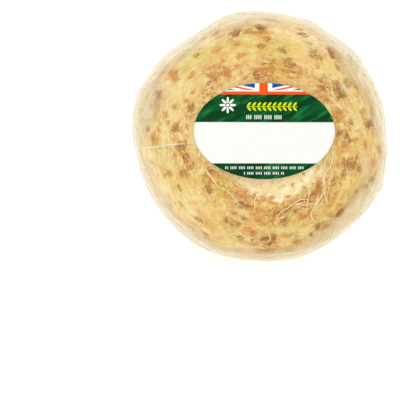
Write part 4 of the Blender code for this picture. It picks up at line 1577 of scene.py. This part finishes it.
    def make_skin(self) -> bpy.types.Object:
        """The skin, which stands for the root's solid."""
        ways, faces = ball_grid(self.cells)
        points = self.form.set_down(ways * self.reach(ways)[:, None])
        angle = self.ring_angle(ways)
        uneven = self.uneven(ways)
        polar = self.form.polar(ways)
        _, up, toward = (ways @ self.form.lie.view).T
        values = {
            "ring_place": self.ring_places(ways),
            "scar": self.mark_value(uneven, MarkKind.SCAR),
            "blush": self.mark_value(uneven, MarkKind.BLUSH),
            "green": self.clouded(ways, GREENS, self.green_clouds, self.green_cloud_zone),
            "rough": self.clouded(uneven, ROUGH_PLACES, self.rough_clouds, self.rough_cloud_zone),
            "low": smooth_step(*self.low_zone, up),
            "pale": self.pale_value(ways),
            "bare": self.form.spots_value(uneven, BARE_SPOTS),
            "light": self.form.spots_value(ways, LIGHT_PLACES),
            "golden": self.form.spots_value(ways, GOLDEN_PLACES),
            # painted light: lighter skin towards the sides and in a band just inside the outline
            "shoulder": smooth_step(*self.shoulder_zone, polar),
            "painted_light_band": smooth_step(*self.painted_light_band_inner, toward) * smooth_step(*self.painted_light_band_outer, toward),
            # painted shade between the rootlets
            "rootlet_shade": self.form.spots_value(uneven, ROOTLET_SHADE_PLACES),
            "crown": smooth_step(*self.crown_zone, polar),
            "furrow": np.exp(-((self.ring_wave(angle) / self.furrow_width) ** 2)) * self.ring_share(angle),
        }
        skin = Shape(points, faces, values).made("skin", self.lie, SkinFinish().made(self.effects))
        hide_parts("root")
        return skin

    def laid_line(self, skin: np.ndarray, radius: float, draw: random.Random) -> Shape:
        """A rootlet along points of the skin, with both ends well in.

        Args:
            skin: Points of the skin, as rows.
            radius: Its radius where it is thickest.
            draw: Gives it its small bends.

        Returns:
            The rootlet.
        """
        out = unit(skin)
        side = unit(np.cross(out, np.gradient(skin, axis=0)))
        share = np.linspace(0.0, 1.0, len(skin))
        sway = draw.uniform(*self.rootlet_sway)
        bends = np.sin(share * draw.uniform(*self.rootlet_bends) + draw.uniform(0.0, TURN))
        lift = np.full(len(skin), self.rootlet_ride)
        lift[0] = lift[-1] = -self.rootlet_sink
        points = skin + side * sway * bends[:, None] + out * lift[:, None]
        rootlet = strand(points, radius * (1.0 - self.rootlet_taper * share), self.rootlet_sides)
        rootlet.values = {"rind": np.zeros(len(rootlet.points))}
        return rootlet

    def make_rootlets(self) -> bpy.types.Object:
        """The rootlets that lie on the skin round the root end, and the hairs among them."""
        draw = random.Random(self.rootlet_seed)
        rootlets = []
        for lines, radius in ((ROOTLETS, self.rootlet_radius), (HAIRS, self.hair_radius)):
            for line in lines:
                places = along_line(line, self.rootlet_step_mm) * MM
                rootlets.append(self.laid_line(self.form.seen_at(places, self.reach), radius, draw))
        for number in range(self.hidden_rootlets):
            curl = draw.uniform(-self.hidden_curl, self.hidden_curl)
            polar = np.linspace(*self.hidden_reach, self.hidden_points)
            start = math.pi * (number + 0.5) / self.hidden_rootlets
            ways = ways_at(polar, start + np.linspace(0.0, curl, self.hidden_points))
            rootlets.append(self.laid_line(ways * self.reach(ways)[:, None], self.rootlet_radius, draw))
        finish = StalkFinish("rootlet", srgb(252, 234, 182), srgb(234, 202, 132), Spots(3.0, 0.42, 0.68))
        piece = joined(rootlets).made("rootlets", self.lie, finish.made(self.effects))
        return piece

    def stub(self, number: int) -> Shape:
        """One crescent stub of an old leaf stalk, cut off level."""
        count = self.stub_points
        radius = self.first_stub_radius + number * self.stub_radius_step
        half_span = min(self.widest_stub, self.stub_arc_length / radius / 2)
        angles = number * self.golden_angle + np.linspace(-half_span, half_span, count)
        arc = radius * np.column_stack((np.cos(angles), np.sin(angles), np.zeros(count)))
        toward = unit(arc - np.array((0.0, 0.0, self.form.crown_cut)))
        taper = np.sin(np.linspace(self.stub_taper_from, math.pi - self.stub_taper_from, count))
        line = toward * self.reach(toward)[:, None] - np.array((0.0, 0.0, self.stub_rise)) * taper[:, None]
        stub = strand(line, self.stub_thickness * taper, self.stub_sides)
        level = -(self.form.crown_cut + self.stub_cut)
        return self.cut_level(stub, level)

    def cut_level(self, stalk: Shape, level: float) -> Shape:
        """The stalk with what stands past the level pressed to it, and its rind marked."""
        past = stalk.points[:, 2] < level
        stalk.points[:, 2] = np.maximum(stalk.points[:, 2], level)
        stalk.values = {"rind": np.where(past, 0.0, self.rind_share)}
        return stalk

    def make_crown(self) -> bpy.types.Object:
        """The crown: stubs of leaf stalks in a spiral round short young stalks."""
        stalks = [self.stub(number) for number in range(self.stalk_stubs)]
        count = self.young_points
        heights = np.linspace(self.young_sink, -self.young_height - self.young_spare, count)
        middle = np.column_stack((np.zeros((count, 2)), heights - self.form.crown_cut))
        radii = self.young_radius * np.linspace(1.0, self.young_taper, count)
        for number in range(self.young_stalks):
            angle = TURN * number / self.young_stalks
            foot = np.array((math.cos(angle), math.sin(angle), 0.0)) * self.young_offset
            stalk = strand(foot + middle, radii, self.young_sides)
            stalks.append(self.cut_level(stalk, -self.form.crown_cut - self.young_height))
        finish = StalkFinish("leaf_stalk", srgb(230, 220, 150), srgb(142, 124, 56), Spots(2.2, 0.42, 0.68))
        piece = joined(stalks).made("crown", self.lie, finish.made(self.effects))
        return piece


@dataclass
class Wrap(Assembly):
    """The clear shrink film and its welded seam."""

    thickness: float = 0.35 * MM
    opening: float = math.radians(24.5)
    rings: int = 150
    segments: int = 250
    crease_width: float = 0.55 * MM
    crease_height: float = 0.28 * MM
    crease_step_mm: float = 1.5
    crease_margin: float = 6.0 * MM
    widest_crease: float = 1.5
    crease_fade: float = 0.25
    random_creases: int = 70
    random_points: int = 9
    random_lengths: Pair = (5.0 * MM, 16.0 * MM)
    random_toward: float = 0.3
    random_down: float = 0.85
    crease_seed: int = 4
    streak_reach: float = 9.0
    rim_zone_mm: Pair = (-1.7, 1.2)
    rim_toward_mm: Pair = (3.0, 15.0)
    rim_lumps_mm: Lumps = (14.0, 0.9, 3.0)
    gather_from: float = math.radians(138)
    gather_rise: float = 0.3
    gather_end: Pair = (math.radians(166), math.radians(177))
    gather_height: float = 0.5 * MM
    gather_width: float = 0.16
    gather_haze: float = 0.6
    gather_drift: float = 0.5
    gather_sway: Lumps = (2.5, 0.5, 7.0)
    gather_folds: tuple[Lumps, Lumps] = ((4.6, 1.0, 14.0), (10.0, 0.4, 15.0))
    gather_start_lumps: Lumps = (3.0, 0.35, 41.0)
    film_lumps: Lumps = (9.0, 0.2 * MM, 5.0)
    seam_half: Pair = (0.34 * MM, 0.14 * MM)
    seam_sides: int = 8
    seam_step: float = 0.8 * MM
    least_seam_points: int = 7
    seam_ride: float = 0.4
    seam_end: float = 1.02
    long_weld: float = 2.0 * MM
    long_weld_width: float = 0.6
    hidden_welds: Pair = (math.pi + 0.15, TURN - 0.35)
    weld_lengths: tuple[float, float, float] = (0.8 * MM, 1.4 * MM, 7.0 * MM)
    weld_stretch: Pair = (0.6, 1.4)
    weld_gaps: Pair = (0.8 * MM, 4.0 * MM)
    pleat_sides: Pair = (0.5, 1.7)
    pleat_sway: Lumps = (3.0, 0.03, 7.0)
    pleats: tuple[Swell, ...] = swelling(
        (62.5, 0.8, 1.8), (46.0, 0.6, 1.7), (41.3, 1.1, 1.6), (36.4, 1.3, 1.6), (31.0, 0.6, 1.6),
        (24.0, 0.4, 1.4), (157.0, 0.6, 1.8), (281.0, 0.5, 1.9), (335.0, 0.7, 1.6), (353.0, 0.6, 1.5),
    )

    @cached_property
    def crease_lines(self) -> list[np.ndarray]:
        """The middle lines of the creases, as directions: the listed ones and others elsewhere."""
        lines = []
        for line in CREASES:
            places = along_line(line, self.crease_step_mm) * MM
            lines.append(unit(self.form.seen_at(places, self.form.film)))
        draw = random.Random(self.crease_seed)
        while len(lines) < len(CREASES) + self.random_creases:
            start = unit(np.array([draw.gauss(0.0, 1.0) for _ in range(3)]))
            bend = unit(np.array([draw.gauss(0.0, 1.0) for _ in range(3)]))
            length = draw.uniform(*self.random_lengths) / self.form.radius
            seen = start @ self.form.lie.view[:, 2] > self.random_toward
            if seen or start @ self.form.lie.down > self.random_down:
                continue
            steps = np.linspace(0.0, length, self.random_points)[:, None]
            lines.append(unit(start + steps * np.cross(start, bend)))
        return lines

    def crease_value(self, ways: np.ndarray) -> np.ndarray:
        """How much of a crease each direction has, from 0 to 1."""
        value = np.zeros(len(ways))
        for line in self.crease_lines:
            reach = np.linalg.norm(line[-1] - line[0]) + self.crease_margin / self.form.radius
            least = math.cos(min(reach, self.widest_crease))
            near = np.flatnonzero(ways @ unit(line.mean(axis=0)) > least)
            nearest = np.full(len(near), np.inf)
            fade = np.zeros(len(near))
            for number, (start, end) in enumerate(zip(line, line[1:])):
                step = end - start
                share = np.clip((ways[near] - start) @ step / (step @ step), 0.0, 1.0)
                away = np.linalg.norm(ways[near] - start - share[:, None] * step, axis=1)
                closer = away < nearest
                nearest[closer] = away[closer]
                fade[closer] = (number + share[closer]) / (len(line) - 1)
            profile = np.exp(-((nearest * self.form.radius / self.crease_width) ** 2))
            profile *= smooth_step(0.0, self.crease_fade, fade)
            profile *= 1.0 - smooth_step(1.0 - self.crease_fade, 1.0, fade)
            value[near] = np.maximum(value[near], profile)
        return value

    def milky_rim_and_reflection(self, ways: np.ndarray, points: np.ndarray) -> np.ndarray:
        """How milky the film is where it stands off the root's shoulder, from 0 to 1: haze, with a painted
        reflection of the white surroundings.

        Args:
            ways: Directions in the growth frame, as rows.
            points: The film's points in those directions.

        Returns:
            A value for each row. It fades where the film turns away from the viewer.
        """
        right, up, toward = (points @ self.form.lie.view / MM).T
        angle = np.degrees(np.arctan2(up, right)) % 360.0
        begins = np.interp(angle, [row[0] for row in RIM_HAZE_AND_REFLECTION], [row[1] for row in RIM_HAZE_AND_REFLECTION])
        begins = begins + lumps(ways, *self.rim_lumps_mm)
        rim = smooth_step(*self.rim_zone_mm, np.hypot(right, up) - begins)
        return rim * smooth_step(*self.rim_toward_mm, toward)

    def film_places(self, ways: np.ndarray) -> np.ndarray:
        """A place in millimetres that changes fast from the viewer's middle outwards and slowly round it."""
        right, up, toward = (ways @ self.form.lie.view).T
        outward = np.arccos(np.clip(toward, -1.0, 1.0)) * self.form.radius / MM
        turn = np.arctan2(up, right)
        return np.column_stack((outward, self.streak_reach * np.cos(turn), self.streak_reach * np.sin(turn)))

    def gathers(self, ways: np.ndarray) -> np.ndarray:
        """Uneven folds that run in over the crown: 1 on the back of a fold, and 0 past their ends."""
        polar = self.form.polar(ways)
        turn = np.arctan2(ways[:, 1], ways[:, 0]) + lumps(ways, *self.gather_sway)
        round_it = np.column_stack((np.cos(turn), np.sin(turn), self.gather_drift * polar))
        broad, narrow = self.gather_folds
        wave = lumps(round_it, *broad) + lumps(round_it, *narrow)
        uneven = self.gather_from + lumps(round_it, *self.gather_start_lumps)
        rises = smooth_step(uneven, uneven + self.gather_rise, polar)
        ends = 1.0 - smooth_step(*self.gather_end, polar)
        return (1.0 - smooth_step(0.0, self.gather_width, np.abs(wave))) * rises * ends

    def reach(self, ways: np.ndarray) -> np.ndarray:
        """How far the film's outside is from the middle, with its pleats, creases and gathers."""
        turn = np.arctan2(ways[:, 1], ways[:, 0])
        across = np.hypot(ways[:, 0], ways[:, 1])
        reach = self.form.film(ways)
        turn = turn + lumps(ways, *self.pleat_sway)
        steep, slow = self.pleat_sides
        for pleat in self.pleats:
            away = half_turns(turn - pleat.angle)
            spread = pleat.spread * np.where(away < 0.0, steep, slow)
            reach = reach + pleat.height * across**4 * np.exp(-0.5 * (away / spread) ** 2)
        reach = reach + self.gather_height * self.gathers(ways)
        reach = reach + lumps(ways, *self.film_lumps)
        return reach + self.crease_height * self.crease_value(ways)

    def make_film(self) -> bpy.types.Object:
        """The film, a thin closed skin that is open under the flat spot. It stands for the film's solid."""
        upright, faces = dome_grid(self.rings, self.segments, math.pi - self.opening)
        ways = upright @ self.form.lie.to_world
        points = ways * self.reach(ways)[:, None]
        crease = np.maximum(self.crease_value(ways), self.gather_haze * self.gathers(ways))
        values = {
            "crease": crease,
            # haze and painted reflection just inside the outline
            "rim": self.milky_rim_and_reflection(ways, points),
            # haze with painted glare
            "haze_and_reflection": self.form.spots_value(ways, HAZE_AND_GLARE_PLACES),
            "film_place": self.film_places(ways),
        }
        film = Shape(points, faces, values)
        piece = film.made("wrap", self.lie, FilmFinish().made(self.effects))
        give_thickness(piece, self.thickness, -1.0)
        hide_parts("film")
        return piece

    def seam_ways(self, angles: np.ndarray) -> np.ndarray:
        """Directions round the seam, which the viewer sees edge on."""
        right, up, toward = self.form.lie.view.T
        across = self.form.radius * np.cos(angles)
        rise = np.interp(across / MM, [place[0] for place in SEAM], [place[1] for place in SEAM]) * MM
        level = np.outer(across, right) + np.outer(rise, up)
        return unit(level + np.outer(self.form.radius * np.sin(angles), toward))

    def weld_spans(self) -> list[tuple[float, float]]:
        """The angles round the seam that each weld spans: the listed ones, and others out of sight."""
        spans = []
        for start, end in WELDS:
            angles = [math.acos(place * MM / self.form.radius) for place in (start, end)]
            spans.append((min(angles), max(angles)))
        draw = random.Random(self.crease_seed)
        angle, last = self.hidden_welds
        while angle < last:
            length = draw.choice(self.weld_lengths) * draw.uniform(*self.weld_stretch) / self.form.radius
            spans.append((angle, angle + length))
            angle += length + draw.uniform(*self.weld_gaps) / self.form.radius
        return spans

    def weld(self, first: float, last: float) -> Shape:
        """One flat weld of the seam, from one angle to another."""
        half_width, half_height = self.seam_half
        length = (last - first) * self.form.radius
        count = max(self.least_seam_points, round(length / self.seam_step))
        share = np.linspace(-1.0, 1.0, count)
        ways = self.seam_ways(first + (share + 1.0) * (last - first) / 2)
        line = ways * (self.reach(ways) + self.seam_ride * half_height)[:, None]
        thin = 1.0 if length < self.long_weld else self.long_weld_width
        weld = strand(line, thin * half_width * np.sqrt(self.seam_end - share**6), self.seam_sides)
        out = np.repeat(unit(line), self.seam_sides, axis=0)
        rise = ((weld.points - np.repeat(line, self.seam_sides, axis=0)) * out).sum(axis=1)
        weld.points -= (rise * (1.0 - half_height / half_width))[:, None] * out
        return weld

    def make_seam(self) -> bpy.types.Object:
        """The seam: short welds, which run together here and there."""
        welds = [self.weld(*span) for span in self.weld_spans()]
        piece = joined(welds).made("wrap_seam", self.lie, SeamFinish().made(self.effects))
        return piece


def give_thickness(piece: bpy.types.Object, thickness: float, offset: float) -> None:
    """Makes a thin closed body of a sheet, and applies it to the mesh."""
    skin = piece.modifiers.new("thickness", "SOLIDIFY")
    skin.thickness = thickness
    skin.offset = offset
    evaluated = piece.evaluated_get(bpy.context.evaluated_depsgraph_get())
    solid = bpy.data.meshes.new_from_object(evaluated)
    piece.modifiers.clear()
    piece.data = solid


@dataclass
class Label(Assembly):
    """The oval printed label, stuck on the film over the root end."""

    width: float = 66.6 * MM
    height: float = 45.4 * MM
    right: float = 2.0 * MM
    up: float = 2.6 * MM
    closeness: float = 1.012
    thickness: float = 0.3 * MM
    rings: int = 30
    segments: int = 180

    def make(self) -> bpy.types.Object:
        """The label, with its oval as the viewer sees it. It stands for the label's solid."""
        share = np.repeat(np.arange(1, self.rings + 1) / self.rings, self.segments)
        turn = np.tile(TURN * np.arange(self.segments) / self.segments, self.rings)
        across = np.concatenate(((0.0,), share * self.width / 2 * np.cos(turn)))
        above = np.concatenate(((0.0,), share * self.height / 2 * np.sin(turn)))
        places = np.column_stack((self.right + across, self.up + above)) / self.closeness
        points = self.form.seen_at(places, self.form.label)
        label_place = np.column_stack((across, above, np.zeros(len(above)))) / MM
        sheet = Shape(points, disc_faces(self.rings, self.segments), {"label_place": label_place})
        piece = sheet.made("oval_label", self.lie, LabelFinish().made(self.effects))
        give_thickness(piece, self.thickness, 1.0)
        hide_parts("label")
        return piece


@dataclass
class Studio:
    """The pale floor, the soft light and the camera."""

    form: Form
    middle: Vector
    effects: Effects
    distance: float = 5.0
    pixel: float = 0.4724 * MM
    frame_pixels: float = 400.0
    middle_pixel: Pair = (260.0, 136.5)
    sensor: float = 36.0
    floor_size: float = 12.0
    floor_cells: int = 40
    world_strength: float = 1.145
    key_power: float = 0.4
    key_size: float = 0.9
    key_place: tuple[float, float, float] = (-0.5, -0.8, 0.9)
    nearest_shown: float = 0.01

    def make_floor(self) -> bpy.types.Object:
        """A broad level floor at the height that the root lies on."""
        work = bmesh.new()
        cells = self.floor_cells
        bmesh.ops.create_grid(work, x_segments=cells, y_segments=cells, size=self.floor_size / 2)
        mesh = bpy.data.meshes.new("floor")
        work.to_mesh(mesh)
        work.free()
        mesh.materials.append(FloorFinish().made(self.effects))
        floor = bpy.data.objects.new("floor", mesh)
        bpy.context.scene.collection.objects.link(floor)
        return floor

    def light(self) -> None:
        """White surroundings, and one broad soft lamp above the viewer's left shoulder."""
        world = bpy.data.worlds.new("studio")
        world.use_nodes = True
        sky = world.node_tree.nodes["Background"]
        sky.inputs["Color"].default_value = (1.0, 1.0, 1.0, 1.0)
        sky.inputs["Strength"].default_value = self.world_strength
        bpy.context.scene.world = world
        lamp = bpy.data.lights.new("key", "AREA")
        lamp.shape = "DISK"
        lamp.size = self.key_size
        lamp.energy = self.key_power
        key = bpy.data.objects.new("key", lamp)
        bpy.context.scene.collection.objects.link(key)
        key.location = self.middle + Vector(self.key_place)
        key.rotation_euler = (self.middle - key.location).to_track_quat("-Z", "Y").to_euler()
        bpy.context.scene.view_settings.view_transform = "Standard"

    def aim(self) -> None:
        """The camera, on the viewer's line through the middle, framed as the photograph is."""
        rise = self.form.lie.view_rise
        toward = Vector((0.0, -math.cos(rise), math.sin(rise)))
        up = Vector((0.0, math.sin(rise), math.cos(rise)))
        right = Vector((1.0, 0.0, 0.0))
        centre = self.frame_pixels / 2
        off_right = (self.middle_pixel[0] - centre) * self.pixel
        off_up = (centre - self.middle_pixel[1]) * self.pixel
        data = bpy.data.cameras.new("view")
        data.sensor_width = self.sensor
        data.lens = self.sensor * self.distance / (self.frame_pixels * self.pixel)
        data.clip_start = self.nearest_shown
        camera = bpy.data.objects.new("view", data)
        bpy.context.scene.collection.objects.link(camera)
        camera.location = self.middle + toward * self.distance
        target = self.middle - right * off_right - up * off_up
        camera.rotation_euler = (target - camera.location).to_track_quat("-Z", "Y").to_euler()
        bpy.context.scene.camera = camera


def frame_middle(form: Form) -> Vector:
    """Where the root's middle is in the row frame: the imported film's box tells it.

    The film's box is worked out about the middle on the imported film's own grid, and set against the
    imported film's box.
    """
    packed_rings, packed_segments = 22, 44
    upright, _ = dome_grid(packed_rings, packed_segments, math.pi - Wrap.opening)
    ways = upright @ form.lie.to_world
    film = (ways * form.film(ways)[:, None]) @ form.lie.to_world.T
    low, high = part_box("film")
    offset = (np.array(low) + np.array(high) - film.min(axis=0) - film.max(axis=0)) / 2
    return Vector((offset[0], offset[1], form.lie.middle_height))


def report(piece: bpy.types.Object) -> None:
    """Says in the log what a piece is made of."""
    log.info("%s: %d points, %d faces", piece.name, len(piece.data.vertices), len(piece.data.polygons))


def main() -> None:
    """Builds the pieces in order, from the root outwards, and then the studio."""
    logging.basicConfig(level=logging.INFO, format="%(name)s: %(message)s")
    form = Form()
    effects = Effects()
    middle = frame_middle(form)
    log.info("the middle of the root is at %s", tuple(round(value, 5) for value in middle))
    lie = Matrix.Translation(middle) @ form.lie.axes.to_4x4()
    root = Root(form, lie, effects)
    wrap = Wrap(form, lie, effects)
    label = Label(form, lie, effects)
    studio = Studio(form, middle, effects)
    for make in (
        root.make_skin,
        root.make_rootlets,
        root.make_crown,
        wrap.make_film,
        wrap.make_seam,
        label.make,
        studio.make_floor,
    ):
        report(make())
    studio.light()
    studio.aim()


if __name__ == "__main__":
    main()
